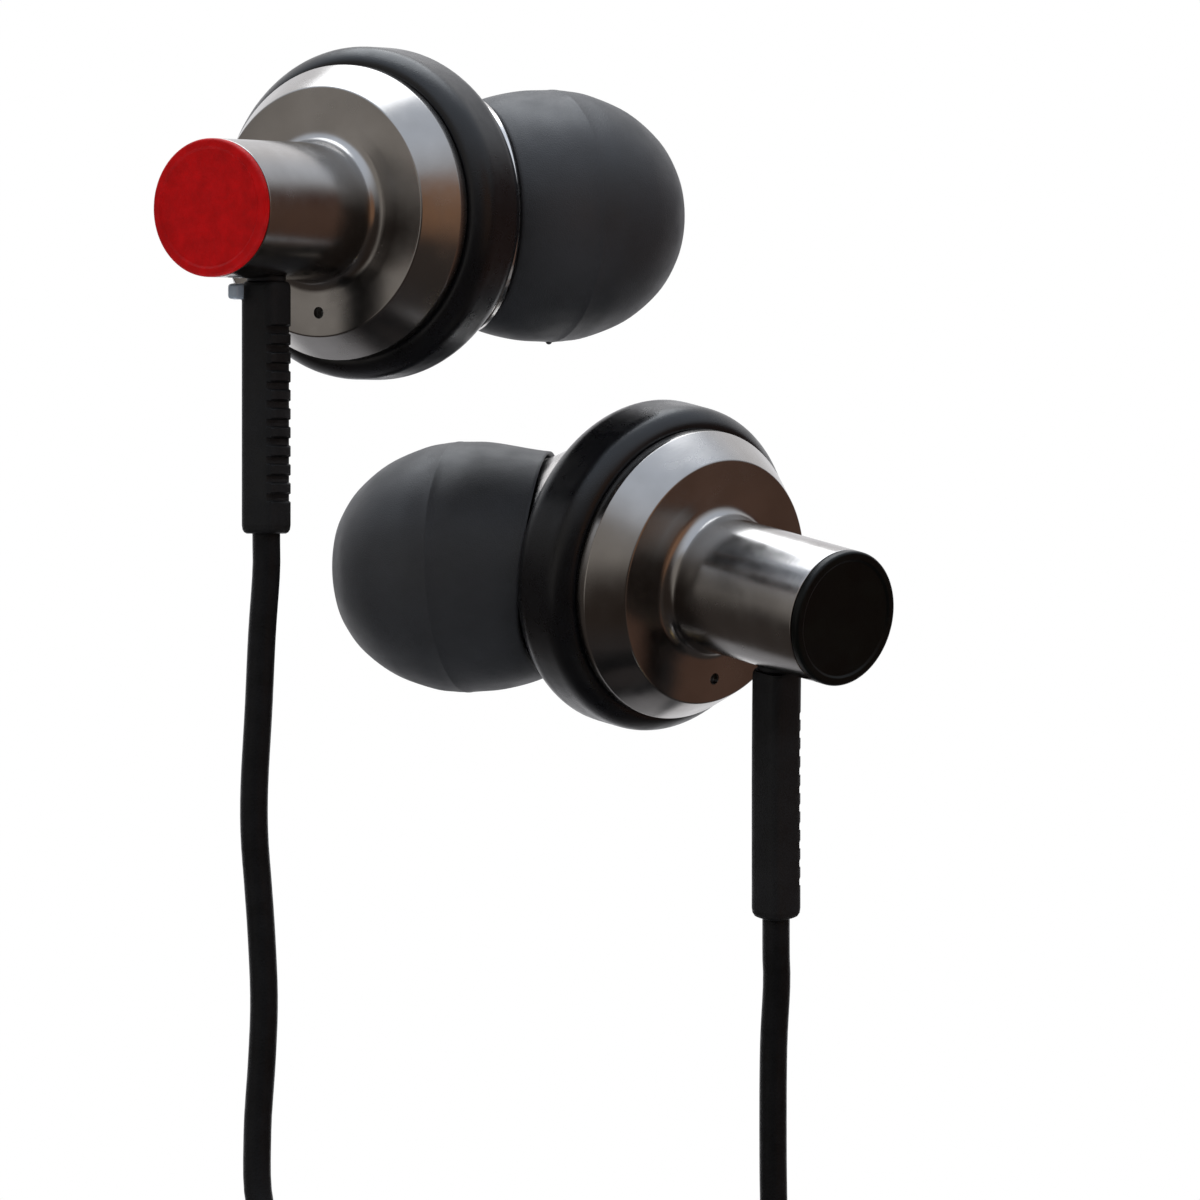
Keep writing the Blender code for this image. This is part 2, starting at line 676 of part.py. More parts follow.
def driver(side_name, parent, cone):
    """The moving-coil driver that fills the housing: frame, yoke, magnet, plate, coil, film and board."""
    half = FRAME_DEPTH / 2
    seat = YOKE_RADIUS + RING_CLEARANCE
    frame_bore = FRAME_RADIUS - FRAME_WALL
    frame = [
        (FRAME_RADIUS, half), (FRAME_RADIUS, -half),
        (frame_bore, -half), (frame_bore, -FRAME_LEDGE / 2),
        (seat, -FRAME_LEDGE / 2), (seat, FRAME_LEDGE / 2), (frame_bore - FRAME_WALL, half),
    ]
    turned(f"{side_name}_driver_frame", frame, black_plastic(), parent, INNER_SIDES)

    yoke_back = YOKE_FRONT_Z + YOKE_DEPTH
    floor = yoke_back - YOKE_WALL
    yoke = [
        (0, yoke_back), (YOKE_RADIUS, yoke_back), (YOKE_RADIUS, YOKE_FRONT_Z),
        (YOKE_BORE_RADIUS, YOKE_FRONT_Z), (YOKE_BORE_RADIUS, floor), (0, floor),
    ]
    turned(f"{side_name}_driver_yoke", yoke, magnet_metal(), parent, INNER_SIDES, closed=False)
    magnet_front = floor - SEAM_GAP - MAGNET_THICKNESS
    disc(f"{side_name}_magnet", MAGNET_RADIUS, magnet_front, floor - SEAM_GAP, magnet_metal(), parent)
    plate_back = magnet_front - SEAM_GAP
    plate_front = plate_back - PLATE_THICKNESS
    disc(f"{side_name}_top_plate", PLATE_RADIUS, plate_front, plate_back, magnet_metal(), parent)

    board_low = yoke_back + 2 * SEAM_GAP
    board_high = board_low + BOARD_THICKNESS
    ring = [
        (BOARD_RADIUS, board_high), (BOARD_RADIUS, board_low),
        (BOARD_BORE_RADIUS, board_low), (BOARD_BORE_RADIUS, board_high),
    ]
    turned(f"{side_name}_terminal_board", ring, board(), parent, INNER_SIDES)

    film_back = -half - DIAPHRAGM_TRAVEL - SEAM_GAP
    coil_radius = VOICE_COIL_RADIUS
    rear = [
        (DIAPHRAGM_RADIUS, film_back), (0.82 * DIAPHRAGM_RADIUS, film_back - 0.25),
        (coil_radius + VOICE_COIL_WALL + 0.1, film_back), (coil_radius - 0.2, film_back - 0.03),
        (0.5 * coil_radius, film_back - 0.35), (0, film_back - 0.45),
    ]
    dome = list(reversed(rear)) + [(r, z - DIAPHRAGM_WALL) for r, z in rear]
    turned(f"{side_name}_diaphragm", dome, film(), cone, INNER_SIDES, closed=False)
    coil_front = film_back + SEAM_GAP
    coil = [
        (coil_radius + VOICE_COIL_WALL, coil_front + VOICE_COIL_LENGTH),
        (coil_radius + VOICE_COIL_WALL, coil_front),
        (coil_radius, coil_front),
        (coil_radius, coil_front + VOICE_COIL_LENGTH),
    ]
    turned(f"{side_name}_voice_coil", coil, copper(), cone, INNER_SIDES)
    return board_high


def inside_the_stem(side_name, board_high, parent):
    """What joins the driver to the cord: the crimped anchor and two lead wires."""
    name = f"{side_name}_cord_anchor"
    anchor = disc(name, ANCHOR_RADIUS, 0, ANCHOR_LENGTH, black_plastic(), parent, SMALL_SIDES)
    anchor.rotation_euler = (math.pi / 2, 0, 0)
    anchor_y = -(STEM_BORE_RADIUS - 1.0) + CORD_GAP + ANCHOR_LENGTH
    anchor.location = Vector((0, anchor_y, RELIEF_Z)) * MM
    top = RELIEF_Z - ANCHOR_RADIUS - 0.15
    for name, x in (("signal", 0.6), ("ground", -0.6)):
        route = [
            (2.4 * x, -1.5, board_high + SEAM_GAP + WIRE_RADIUS),
            (1.9 * x, -1.2, 0.6 * board_high + 0.4 * FACE_Z),
            (1.2 * x, -0.7, FACE_Z),
            (x, -0.4, 0.5 * (FACE_Z + top)),
            (0.8 * x, -0.3, top),
        ]
        tube(f"{side_name}_{name}_wire", smooth_route(route, 1.2), WIRE_RADIUS, copper(), parent, 1)


def earphone(side_name, side, matrix):
    placed = Matrix.Translation(matrix.translation * MM) @ matrix.to_3x3().to_4x4()
    frame = empty(f"{side_name}_earphone", placed)
    cone = empty(f"{side_name}_diaphragm_axis", Matrix.Identity(4), frame)
    turn = Matrix.Rotation(NOZZLE_TURNS[side_name], 4, "Z")
    front = empty(f"{side_name}_front_axis", turn, frame)
    lean = Matrix.Rotation(math.pi - side * NOZZLE_ANGLE, 4, "Y")
    tip_place = Matrix.Translation(nozzle_place(side, TIP_START) * MM) @ lean
    tip_axis = empty(f"{side_name}_tip_axis", tip_place, front)
    mesh_along = NOZZLE_SEAT + NOZZLE_LENGTH - MESH_INSET
    mesh_place = Matrix.Translation(nozzle_place(side, mesh_along) * MM) @ lean
    mesh_axis = empty(f"{side_name}_mesh_axis", mesh_place, front)

    rear_shell(side_name, frame)
    end_cap(side_name, red_cap() if side_name == "right" else black_cap(), frame)
    bumper_ring(side_name, frame)
    front_shell(side_name, side, front)
    ear_tip(side_name, tip_axis)
    mesh_radius = NOZZLE_BORE_RADIUS - SEAM_GAP
    disc(f"{side_name}_nozzle_mesh", mesh_radius, 0, MESH_THICKNESS, polished_steel(), mesh_axis)
    board_high = driver(side_name, frame, cone)
    inside_the_stem(side_name, board_high, frame)
    screen_top = FACE_Z - FACE_WALL - SEAM_GAP
    name = f"{side_name}_vent_screen"
    screen = disc(name, SCREEN_RADIUS, -SCREEN_THICKNESS, 0, felt(), frame, SMALL_SIDES)
    screen.location = Vector((0, -SCREEN_OFFSET, screen_top)) * MM
    strain_relief(side_name, matrix, frame)
    if side_name == "right":
        width, height, depth = MARKER_SIZE
        relief_face = RELIEF_Z + RELIEF_DEPTH / 2 + 2 * SEAM_GAP
        place = (-0.8, -STEM_RADIUS - 2 * NECK_CLEARANCE - height / 2, relief_face + depth / 2)
        rounded_box("right_side_marker", MARKER_SIZE, 0.15, marker_plastic(), frame, place)


def cord_tubes(frames):
    """The stretches of cord outside the coil, each from the face it leaves to the face it meets."""
    branch_step, main_step = 5.2 * BRANCH_RADIUS, 5.4 * MAIN_RADIUS
    for name, route in (("right", RIGHT_UPPER), ("left", LEFT_UPPER)):
        end, way = relief_exit(frames[name])
        start = [end + way * CORD_GAP, end + way * (CORD_GAP + 1.5)]
        points = smooth_route(start + route, branch_step)
        tube(f"{name}_cord_upper", points, BRANCH_RADIUS, cord_jacket())
    for name, route, x in (
        ("right", RIGHT_LOWER, PAIR_X + PAIR_SPACING / 2),
        ("left", LEFT_LOWER, PAIR_X - PAIR_SPACING / 2),
    ):
        straight = [(x, 28.0, PAIR_Z), (x, SPLITTER_START_Y - CORD_GAP, PAIR_Z)]
        points = smooth_route(route + straight, branch_step)
        tube(f"{name}_cord_lower", points, BRANCH_RADIUS, cord_jacket())
    out_of_splitter = (PAIR_X, SPLITTER_START_Y + SPLITTER_LENGTH + CORD_GAP, PAIR_Z - 0.15)
    points = smooth_route([out_of_splitter] + MAIN_UPPER, main_step)
    tube("main_cord_upper", points, MAIN_RADIUS, cord_jacket())
    into_boot = [PLUG_START - Vector((1.7, 0, 0)), PLUG_START - Vector((CORD_GAP, 0, 0))]
    points = smooth_route(MAIN_LOWER + into_boot, main_step)
    tube("main_cord_lower", points, MAIN_RADIUS, cord_jacket())


def cord_coil():
    low, high = COIL_LIFT, COIL_LIFT + COIL_HEIGHT
    profile = [
        (COIL_OUTER_RADIUS - 0.4, high), (COIL_OUTER_RADIUS, high - 0.4),
        (COIL_OUTER_RADIUS, low + 0.4), (COIL_OUTER_RADIUS - 0.4, low),
        (COIL_INNER_RADIUS, low), (COIL_INNER_RADIUS, high),
    ]
    coil = turned("cord_coil", profile, cord_jacket())
    coil.location = (COIL_CENTRE + Vector((0, 0, FLOOR_Z))) * MM


def cord_tie():
    """A soft strap around the coil's section, closed on itself."""
    low, high = COIL_LIFT - TIE_GAP, COIL_LIFT + COIL_HEIGHT + TIE_GAP
    near, far = COIL_INNER_RADIUS - TIE_GAP, COIL_OUTER_RADIUS + TIE_GAP
    # The strap is flat, so beside a round coil it stands off by the curve's rise over half its width
    near -= (TIE_WIDTH / 2) ** 2 / COIL_INNER_RADIUS
    sections = []
    for y, wall in ((-1, 0), (1, 0), (1, TIE_WALL), (-1, TIE_WALL)):
        corners = [
            (near - wall, low - wall), (far + wall, low - wall),
            (far + wall, high + wall), (near - wall, high + wall),
        ]
        sections.append([Vector((x, y * TIE_WIDTH / 2, z)) for x, z in corners])
    tie = lofted("cord_tie", sections, black_rubber(), capped=False)
    turn = Matrix.Rotation(TIE_ANGLE, 4, "Z")
    tie.matrix_world = Matrix.Translation((COIL_CENTRE + Vector((0, 0, FLOOR_Z))) * MM) @ turn


def cinch_slider():
    """Slides on the two branch cords, towards the coil, to gather them."""
    middle = Vector((PAIR_X, SLIDER_END_Y - SLIDER_SIZE[1] / 2, PAIR_Z))
    slider = rounded_box("cinch_slider", SLIDER_SIZE, SLIDER_ROUNDING, black_plastic())
    slider.location = middle * MM
    for number, x in enumerate((-PAIR_SPACING / 2, PAIR_SPACING / 2)):
        bore_radius = BRANCH_RADIUS + SLIDER_BORE_CLEARANCE
        half = SLIDER_SIZE[1] / 2 + 1
        name = f"slider_bore_cutter_{number}"
        bore = disc(name, bore_radius, -half, half, None, slider, SMALL_SIDES, "cutters")
        bore.rotation_euler = (math.pi / 2, 0, 0)
        bore.location = (x * MM, 0, 0)
        cut(slider, bore)


def splitter():
    stations = ((0.0, 0.88), (0.06, 1.0), (0.5, 1.0), (0.94, 1.0), (1.0, 0.86))
    sections = []
    for share, fullness in stations:
        width = SPLITTER_START_SIZE[0] + (SPLITTER_END_SIZE[0] - SPLITTER_START_SIZE[0]) * share
        depth = SPLITTER_START_SIZE[1] + (SPLITTER_END_SIZE[1] - SPLITTER_START_SIZE[1]) * share
        centre = Vector((PAIR_X, SPLITTER_START_Y + share * SPLITTER_LENGTH, PAIR_Z))
        sections.append(rounded_section(centre, width * fullness, depth * fullness, 1.1 * fullness))
    lofted("splitter", sections, black_plastic())


def plug():
    """The straight plug, turned about its own z, which lies along +X."""
    along_x = Matrix.Rotation(math.pi / 2, 4, "Y")
    axis = empty("plug_axis", Matrix.Translation(PLUG_START * MM) @ along_x)
    boot = [
        (0, BOOT_LENGTH), (BOOT_END_RADIUS, BOOT_LENGTH), (BOOT_END_RADIUS, 0.75 * BOOT_LENGTH),
        (BOOT_START_RADIUS, 0.3), (BOOT_START_RADIUS - 0.2, 0), (0, 0),
    ]
    turned("plug_boot", boot, black_rubber(), axis, INNER_SIDES, closed=False)
    body_start = BOOT_LENGTH + SEAM_GAP
    shoulder = body_start + PLUG_BODY_LENGTH
    body = [
        (0, shoulder), (PLUG_BODY_RADIUS - 0.4, shoulder), (PLUG_BODY_RADIUS, shoulder - 0.6),
        (PLUG_BODY_RADIUS, body_start + 0.5), (PLUG_BODY_RADIUS - 0.4, body_start), (0, body_start),
    ]
    turned("plug_shell", body, gunmetal(), axis, INNER_SIDES, closed=False)
    start = shoulder + SEAM_GAP
    pieces = (
        ("plug_sleeve", SLEEVE_LENGTH, CONTACT_RADIUS, gold),
        ("plug_rear_insulator", INSULATOR_LENGTH, INSULATOR_RADIUS, black_plastic),
        ("plug_ring_contact", CONTACT_RING_LENGTH, CONTACT_RADIUS, gold),
        ("plug_front_insulator", INSULATOR_LENGTH, INSULATOR_RADIUS, black_plastic),
    )
    for name, length, radius, surface in pieces:
        disc(name, radius, start, start + length, surface(), axis)
        start += length + SEAM_GAP
    length = CONTACT_TIP_LENGTH
    shares = ((0, 1), (0.5, 0.94), (0.94, 0.6), (0.94, 0.5), (0.7, 0.3), (1, 0), (0, 0))
    tip = [(wide * CONTACT_RADIUS, start + far * length) for wide, far in shares]
    turned("plug_tip_contact", tip, gold(), axis, INNER_SIDES, closed=False)


def main():
    clear_scene()
    collection(OBJECT)
    collection("cutters").hide_render = True
    frames = earphone_frames()
    for side_name, side in SIDE_NAMES.items():
        earphone(side_name, side, frames[side_name])
    cord_tubes(frames)
    cord_coil()
    cord_tie()
    cinch_slider()
    splitter()
    plug()


main()
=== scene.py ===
"""The looks of the wired earphones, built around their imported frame.

Each earphone is shaped in its own frame, in millimetres: z runs along the stem towards the end cap,
the cord leaves towards -y, and the nozzle leans towards +x on the right one and -x on the left one.
"""

import json
import math
import bmesh
import bpy
from mathutils import Matrix, Vector


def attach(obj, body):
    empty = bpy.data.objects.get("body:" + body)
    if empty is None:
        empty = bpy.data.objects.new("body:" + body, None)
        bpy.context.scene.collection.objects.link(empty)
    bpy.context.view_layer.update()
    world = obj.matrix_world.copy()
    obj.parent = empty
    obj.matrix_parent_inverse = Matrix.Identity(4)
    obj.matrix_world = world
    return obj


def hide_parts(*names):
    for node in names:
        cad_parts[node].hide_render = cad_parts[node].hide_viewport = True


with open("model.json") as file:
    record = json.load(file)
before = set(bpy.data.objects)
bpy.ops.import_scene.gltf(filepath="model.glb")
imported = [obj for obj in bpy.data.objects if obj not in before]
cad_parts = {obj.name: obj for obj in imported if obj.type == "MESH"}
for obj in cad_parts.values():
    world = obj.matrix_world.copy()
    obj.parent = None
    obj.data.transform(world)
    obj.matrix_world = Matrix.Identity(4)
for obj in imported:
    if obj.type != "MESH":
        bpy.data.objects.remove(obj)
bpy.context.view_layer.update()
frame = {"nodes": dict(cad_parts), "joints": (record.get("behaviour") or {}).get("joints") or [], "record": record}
mounts = {mount["name"]: mount for mount in frame["record"]["mounts"]}
joints = {joint["name"]: joint for joint in frame["joints"]}

MM = 0.001
IN_MM = Matrix.Scale(MM, 4)
SIDES = {"right": 1, "left": -1}
FLOOR_Z = -65.5
SHARP_ANGLE = 32

# Housing
RING_BORE_RADIUS = 6.65
RING_RADIUS = 7.85
RING_HALF = 1.9
RING_FLAT_HALF = 1.03
SHELL_RADIUS = 6.55
SHELL_SEAM_Z = -0.2
DRIVER_BORE_RADIUS = 6.05
RIM_RADIUS = 6.95
RIM_Z = 1.95
RIM_TOP_Z = 2.5
CHAMFER_RADIUS = 5.88
FACE_Z = 4.27
FACE_WALL = 0.62
FACE_CROWN = 0.07
STEM_RADIUS = 3.23
STEM_BORE_RADIUS = 2.63
STEM_FILLET = 0.67
STEM_END_Z = 12.57
VENT_RADIUS = 0.28
VENT_OFFSET = 4.75
CAP_BASE_Z = 12.62
CAP_TOP_Z = 13.04
CAP_FACE_Z = 12.96
CAP_PLUG_RADIUS = 2.53
CAP_PLUG_Z = 11.72

# Nozzle and ear tip
NOZZLE_ANGLE = math.radians(30)
NOZZLE_ELBOW_Z = -1.0
NOZZLE_TURNS = {"right": 0.0, "left": math.radians(14.5)}
NOZZLE_SEAT = 4.65
SEAT_RADII = {"right": 5.62, "left": 5.05}
NOZZLE_RADIUS = 2.6
NOZZLE_BORE_RADIUS = 1.8
NOZZLE_END = 9.8
BARB_RADIUS = 2.85
TIP_START = 4.8
TIP_LENGTH = 9.8
SKIRT_BEND = 3.2
SKIRT_BORE_RADIUS = 4.86
SKIRT_REACH = {"right": 0.0, "left": 1.0}
SKIRT_FLARE = 0.09
SKIRT_THINNING = 0.17
MESH_ALONG = 9.2
MESH_CELLS = 14
MESH_PITCH = 0.25
MESH_WIRE = 0.09

# Strain relief
RELIEF_Z = 8.45
RELIEF_LENGTH = 11.8
RELIEF_WIDTH = 2.0
RELIEF_DEPTH = 1.9
RELIEF_CORNER = 0.55
RELIEF_STEPS = 52
NOTCHES = 10
NOTCH_PITCH = 0.87
NOTCH_START = 2.3
NOTCH_DEPTH = 0.3
NECK_RADIUS = 0.8

# Cords and what is on them
BRANCH_RADIUS = 0.65
MAIN_RADIUS = 1.0
COIL_CENTRE = Vector((-6.5, -4.0, 0.0))
COIL_TIE_ANGLE = 110
MAIN_PITCH = 2.05
MAIN_INNER_RADIUS = 8.45
MAIN_TOP_Z = FLOOR_Z + 7.9
LEFT_LAYER_Z = FLOOR_Z + 9.6
RIGHT_LAYER_Z = FLOOR_Z + 10.95
UPPER_LAYER_Z = FLOOR_Z + 12.3
PAIR_X = 7.5
PAIR_SPACING = 2.2
PAIR_Z = FLOOR_Z + 1.65
SLIDER_SIZE = Vector((4.6, 6.0, 3.2))
SLIDER_MIDDLE = Vector((PAIR_X, 28.5, PAIR_Z))
SPLITTER_START_Y = 32.8
SPLITTER_LENGTH = 10.2
PLUG_START = Vector((-8.6, -21.8, FLOOR_Z + 3.1))
BOOT_LENGTH = 9.0
PLUG_BODY_RADIUS = 3.05
PLUG_BODY_LENGTH = 15.0
CONTACT_RADIUS = 1.75
INSULATOR_RADIUS = 1.65
PLUG_TIP_LENGTH = 3.7
PLUG_GAP = 0.05

# The cords' routes: each "upper" one leads to the coil and each "lower" one leaves it
RIGHT_UPPER = [
    (-18.73, -14.1, -19.86), (-18.89, -14.15, -23.37), (-19.08, -14.2, -26.87),
    (-19.08, -14.2, -29.2), (-18.91, -14.2, -31.54), (-18.75, -14.2, -33.87),
    (-18.63, -14.2, -36.91), (-18.73, -14.2, -39.71), (-18.94, -14.25, -43.21),
    (-18.8, -14.6, -46.5), (-17.6, -15.6, -49.2), (-15.0, -16.4, -51.0),
    (-11.9, -16.2, -51.5),
]
LEFT_UPPER = [
    (5.4, -6.05, -36.4), (5.26, -5.6, -39.5), (5.24, -5.35, -44.2),
    (5.3, -5.1, -47.6), (5.5, -3.6, -50.4), (5.2, -0.6, -51.5),
]
RIGHT_LOWER = [
    (7.7, 2.4, -54.5), (8.2, 5.2, -55.6), (8.5, 8.4, -57.7),
    (8.6, 11.6, -60.1), (8.6, 14.8, -62.5), (8.6, 17.6, -63.75),
    (8.6, 20.0, -63.85), (8.6, 28.0, PAIR_Z), (8.6, 33.7, PAIR_Z),
]
LEFT_LOWER = [
    (6.8, 2.6, -55.95), (6.8, 5.4, -57.0), (6.5, 8.6, -58.8),
    (6.4, 11.8, -60.8), (6.4, 15.0, -62.8), (6.4, 17.8, -63.75),
    (6.4, 20.0, -63.85), (6.4, 28.0, PAIR_Z), (6.4, 33.7, PAIR_Z),
]
MAIN_UPPER = [
    (7.5, 42.2, -64.0), (7.5, 43.3, -64.0), (7.3, 46.4, -64.3),
    (5.2, 49.7, -64.5), (1.8, 51.0, -64.5), (-1.7, 50.0, -64.5),
    (-4.3, 47.1, -64.5), (-6.2, 43.3, -64.5), (-8.5, 38.9, -64.5),
    (-11.0, 34.4, -64.5), (-13.5, 30.0, -64.5), (-15.6, 25.7, -64.5),
    (-17.2, 21.6, -64.5), (-18.3, 17.8, -64.2), (-18.9, 14.2, -63.0),
    (-19.2, 11.0, -61.3), (-19.2, 7.8, -59.6), (-19.15, 4.7, -58.1),
]
MAIN_LOWER = [
    (-20.35, -9.6, -63.9), (-20.6, -12.4, -64.3), (-20.0, -15.4, -64.5),
    (-18.3, -18.4, -64.4), (-15.8, -20.6, -63.9), (-13.0, -21.6, -63.1),
    (-10.3, -21.8, -62.4), (-8.0, -21.8, -62.4),
]


# -------------------- camera

CAMERA_TARGET = Vector((-2.944, -7.109, -18.23))
CAMERA_DISTANCE = 700.0
VIEW_WIDTH = 56.6


def make_camera():
    """Looks level along +y, from in front of the end caps."""
    camera = bpy.data.objects.new("camera", bpy.data.cameras.new("camera"))
    bpy.context.scene.collection.objects.link(camera)
    camera.location = (CAMERA_TARGET - Vector((0, CAMERA_DISTANCE, 0))) * MM
    camera.rotation_euler = (math.pi / 2, 0, 0)
    camera.data.sensor_width = 36
    camera.data.lens = camera.data.sensor_width * CAMERA_DISTANCE / VIEW_WIDTH
    bpy.context.scene.camera = camera


# -------------------- node helpers

def node(tree, kind, values=None, **settings):
    """A node with these settings. A value that is a socket is linked, any other is set."""
    made = tree.nodes.new("ShaderNode" + kind)
    for name, value in settings.items():
        setattr(made, name, value)
    for name, value in (values or {}).items():
        if isinstance(value, bpy.types.NodeSocket):
            tree.links.new(value, made.inputs[name])
        else:
            made.inputs[name].default_value = value
    return made


def node_group(name, inputs, output):
    """An empty group with these inputs and one output, and its two end nodes."""
    tree = bpy.data.node_groups.new(name, "ShaderNodeTree")
    tree.interface.new_socket("Vector", in_out="INPUT", socket_type="NodeSocketVector")
    for label, value in inputs.items():
        socket = tree.interface.new_socket(label, in_out="INPUT", socket_type="NodeSocketFloat")
        socket.default_value = value
    tree.interface.new_socket(output, in_out="OUTPUT", socket_type="NodeSocketFloat")
    return tree, tree.nodes.new("NodeGroupInput").outputs, tree.nodes.new("NodeGroupOutput").inputs


def make_mottle():
    """Slow, cloudy variation between a low and a high value."""
    tree, given, result = node_group("mottle", {"Scale": 400.0, "Low": 0.0, "High": 1.0}, "Value")
    clouds = node(tree, "TexNoise", {"Vector": given["Vector"], "Scale": given["Scale"], "Detail": 3.0})
    spread = node(tree, "MapRange", {
        "Value": clouds.outputs["Fac"], "From Min": 0.3, "From Max": 0.7,
        "To Min": given["Low"], "To Max": given["High"],
    })
    tree.links.new(spread.outputs["Result"], result["Value"])
    return tree


def make_grain():
    """Fine moulded or blasted grain, as a height."""
    tree, given, result = node_group("grain", {"Scale": 9000.0}, "Height")
    pits = node(tree, "TexVoronoi", {"Vector": given["Vector"], "Scale": given["Scale"]})
    haze = node(tree, "TexNoise", {"Vector": given["Vector"], "Scale": given["Scale"], "Detail": 2.0})
    both = node(tree, "Math", {0: pits.outputs["Distance"], 1: haze.outputs["Fac"]}, operation="ADD")
    tree.links.new(both.outputs[0], result["Height"])
    return tree


def make_turning():
    """Faint rings left by a lathe around z, on faces and on cylinders alike, as a height."""
    tree, given, result = node_group("turning lines", {"Lines": 9.0}, "Height")
    parts = node(tree, "SeparateXYZ", {"Vector": given["Vector"]})
    flat = node(tree, "CombineXYZ", {"X": parts.outputs["X"], "Y": parts.outputs["Y"]})
    radius = node(tree, "VectorMath", {0: flat.outputs[0]}, operation="LENGTH")
    along = node(tree, "Math", {0: radius.outputs["Value"], 1: parts.outputs["Z"]}, operation="ADD")
    place = node(tree, "CombineXYZ", {"X": along.outputs[0]})
    rings = node(tree, "TexNoise", {"Vector": place.outputs[0], "Scale": given["Lines"], "Detail": 4.0})
    tree.links.new(rings.outputs["Fac"], result["Height"])
    return tree


def make_smudges():
    """Where fingers have touched: soft patches, as a mask."""
    tree, given, result = node_group("smudges", {"Scale": 260.0, "Amount": 0.5}, "Mask")
    patches = node(tree, "TexNoise", {
        "Vector": given["Vector"], "Scale": given["Scale"], "Detail": 5.0, "Distortion": 0.6,
    })
    edge = node(tree, "MapRange", {
        "Value": patches.outputs["Fac"], "From Min": 0.48, "From Max": 0.68, "To Max": given["Amount"],
    })
    tree.links.new(edge.outputs["Result"], result["Mask"])
    return tree


GROUPS = {
    "mottle": make_mottle(), "grain": make_grain(), "turning": make_turning(), "smudges": make_smudges(),
}


def effect(tree, name, values):
    """One of the shared effects, placed in a material."""
    return node(tree, "Group", values, node_tree=GROUPS[name]).outputs[0]


def own_coordinates(tree, place=None):
    """The object's coordinates, or those of a piece's own frame in millimetres."""
    source = node(tree, "TexCoord").outputs["Object"]
    if place is None:
        return source
    back = place.inverted()
    mapping = node(tree, "Mapping", {"Vector": source}, vector_type="POINT")
    mapping.inputs["Location"].default_value = back.translation
    mapping.inputs["Rotation"].default_value = back.to_3x3().normalized().to_euler()
    mapping.inputs["Scale"].default_value = (1 / MM,) * 3
    return mapping.outputs[0]


def finish_look(
    name, dark, light, rough, metallic=0.0, mottle=500.0, grain=9000.0, depth=0.004, smudges=0.1,
    coat=0.0, place=None, lines=0.0, specular=0.5,
):
    """A material mottled between two colours and two roughnesses, with grain and smudges.

    With a place, its patterns follow that frame in millimetres and faint turning lines are added.
    """
    made = bpy.data.materials.new(name)
    made.use_nodes = True
    tree = made.node_tree
    shader = tree.nodes["Principled BSDF"]
    vector = own_coordinates(tree, place)
    unit = 1.0 if place is None else MM
    cloud = effect(tree, "mottle", {"Vector": vector, "Scale": mottle * unit})
    colour = node(tree, "Mix", {"Factor": cloud}, data_type="RGBA")
    colour.inputs["A"].default_value = (*dark, 1)
    colour.inputs["B"].default_value = (*light, 1)
    touched = effect(tree, "smudges", {"Vector": vector, "Scale": 0.6 * mottle * unit, "Amount": smudges})
    even = effect(tree, "mottle", {
        "Vector": vector, "Scale": 3 * mottle * unit, "Low": rough[0], "High": rough[1],
    })
    total = node(tree, "Math", {0: even, 1: touched}, operation="ADD", use_clamp=True)
    height = effect(tree, "grain", {"Vector": vector, "Scale": grain * unit})
    if lines:
        rings = effect(tree, "turning", {"Vector": vector, "Lines": lines})
        scaled = node(tree, "Math", {0: height, 1: 0.25}, operation="MULTIPLY")
        height = node(tree, "Math", {0: rings, 1: scaled.outputs[0]}, operation="ADD").outputs[0]
    bump = node(tree, "Bump", {"Height": height, "Strength": 1.0, "Distance": depth * MM})
    tree.links.new(colour.outputs["Result"], shader.inputs["Base Color"])
    tree.links.new(total.outputs[0], shader.inputs["Roughness"])
    tree.links.new(bump.outputs[0], shader.inputs["Normal"])
    shader.inputs["Metallic"].default_value = metallic
    shader.inputs["Coat Weight"].default_value = coat
    shader.inputs["Coat Roughness"].default_value = 0.15
    shader.inputs["Specular IOR Level"].default_value = specular
    return made


# -------------------- mesh helpers

def put(obj, replaces=(), body="root"):
    """Links a piece, fixes it to its body and hides the parts it replaces."""
    bpy.context.scene.collection.objects.link(obj)
    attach(obj, body)
    if replaces:
        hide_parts(*replaces)
    return obj


def finished(bm, name, look, replaces=(), place=IN_MM, sharp=SHARP_ANGLE, body="root"):
    """The bmesh, in millimetres in its own frame, as a piece in the row frame."""
    bmesh.ops.transform(bm, matrix=place, verts=bm.verts)
    bmesh.ops.remove_doubles(bm, verts=bm.verts, dist=0.0005 * MM)
    bmesh.ops.recalc_face_normals(bm, faces=bm.faces)
    mesh = bpy.data.meshes.new(name)
    bm.to_mesh(mesh)
    bm.free()
    mesh.shade_smooth()
    mesh.set_sharp_from_angle(angle=math.radians(sharp))
    mesh.materials.append(look)
    return put(bpy.data.objects.new(name, mesh), replaces, body)


def rounded(corners, closed=True, steps=6):
    """The outline with each corner of (x, z, radius) turned into an arc of that radius."""
    points = []
    for i, (x, z, radius) in enumerate(corners):
        here = Vector((x, z))
        if radius == 0 or (not closed and i in (0, len(corners) - 1)):
            points.append(here)
            continue
        before = (Vector(corners[i - 1][:2]) - here).normalized()
        after = (Vector(corners[(i + 1) % len(corners)][:2]) - here).normalized()
        half = before.angle(after) / 2
        centre = here + (before + after).normalized() * radius / math.sin(half)
        start = here + before * radius / math.tan(half) - centre
        end = here + after * radius / math.tan(half) - centre
        first = math.atan2(start.y, start.x)
        sweep = (math.atan2(end.y, end.x) - first + math.pi) % (2 * math.pi) - math.pi
        for step in range(steps + 1):
            angle = first + sweep * step / steps
            points.append(centre + Vector((math.cos(angle), math.sin(angle))) * radius)
    return points


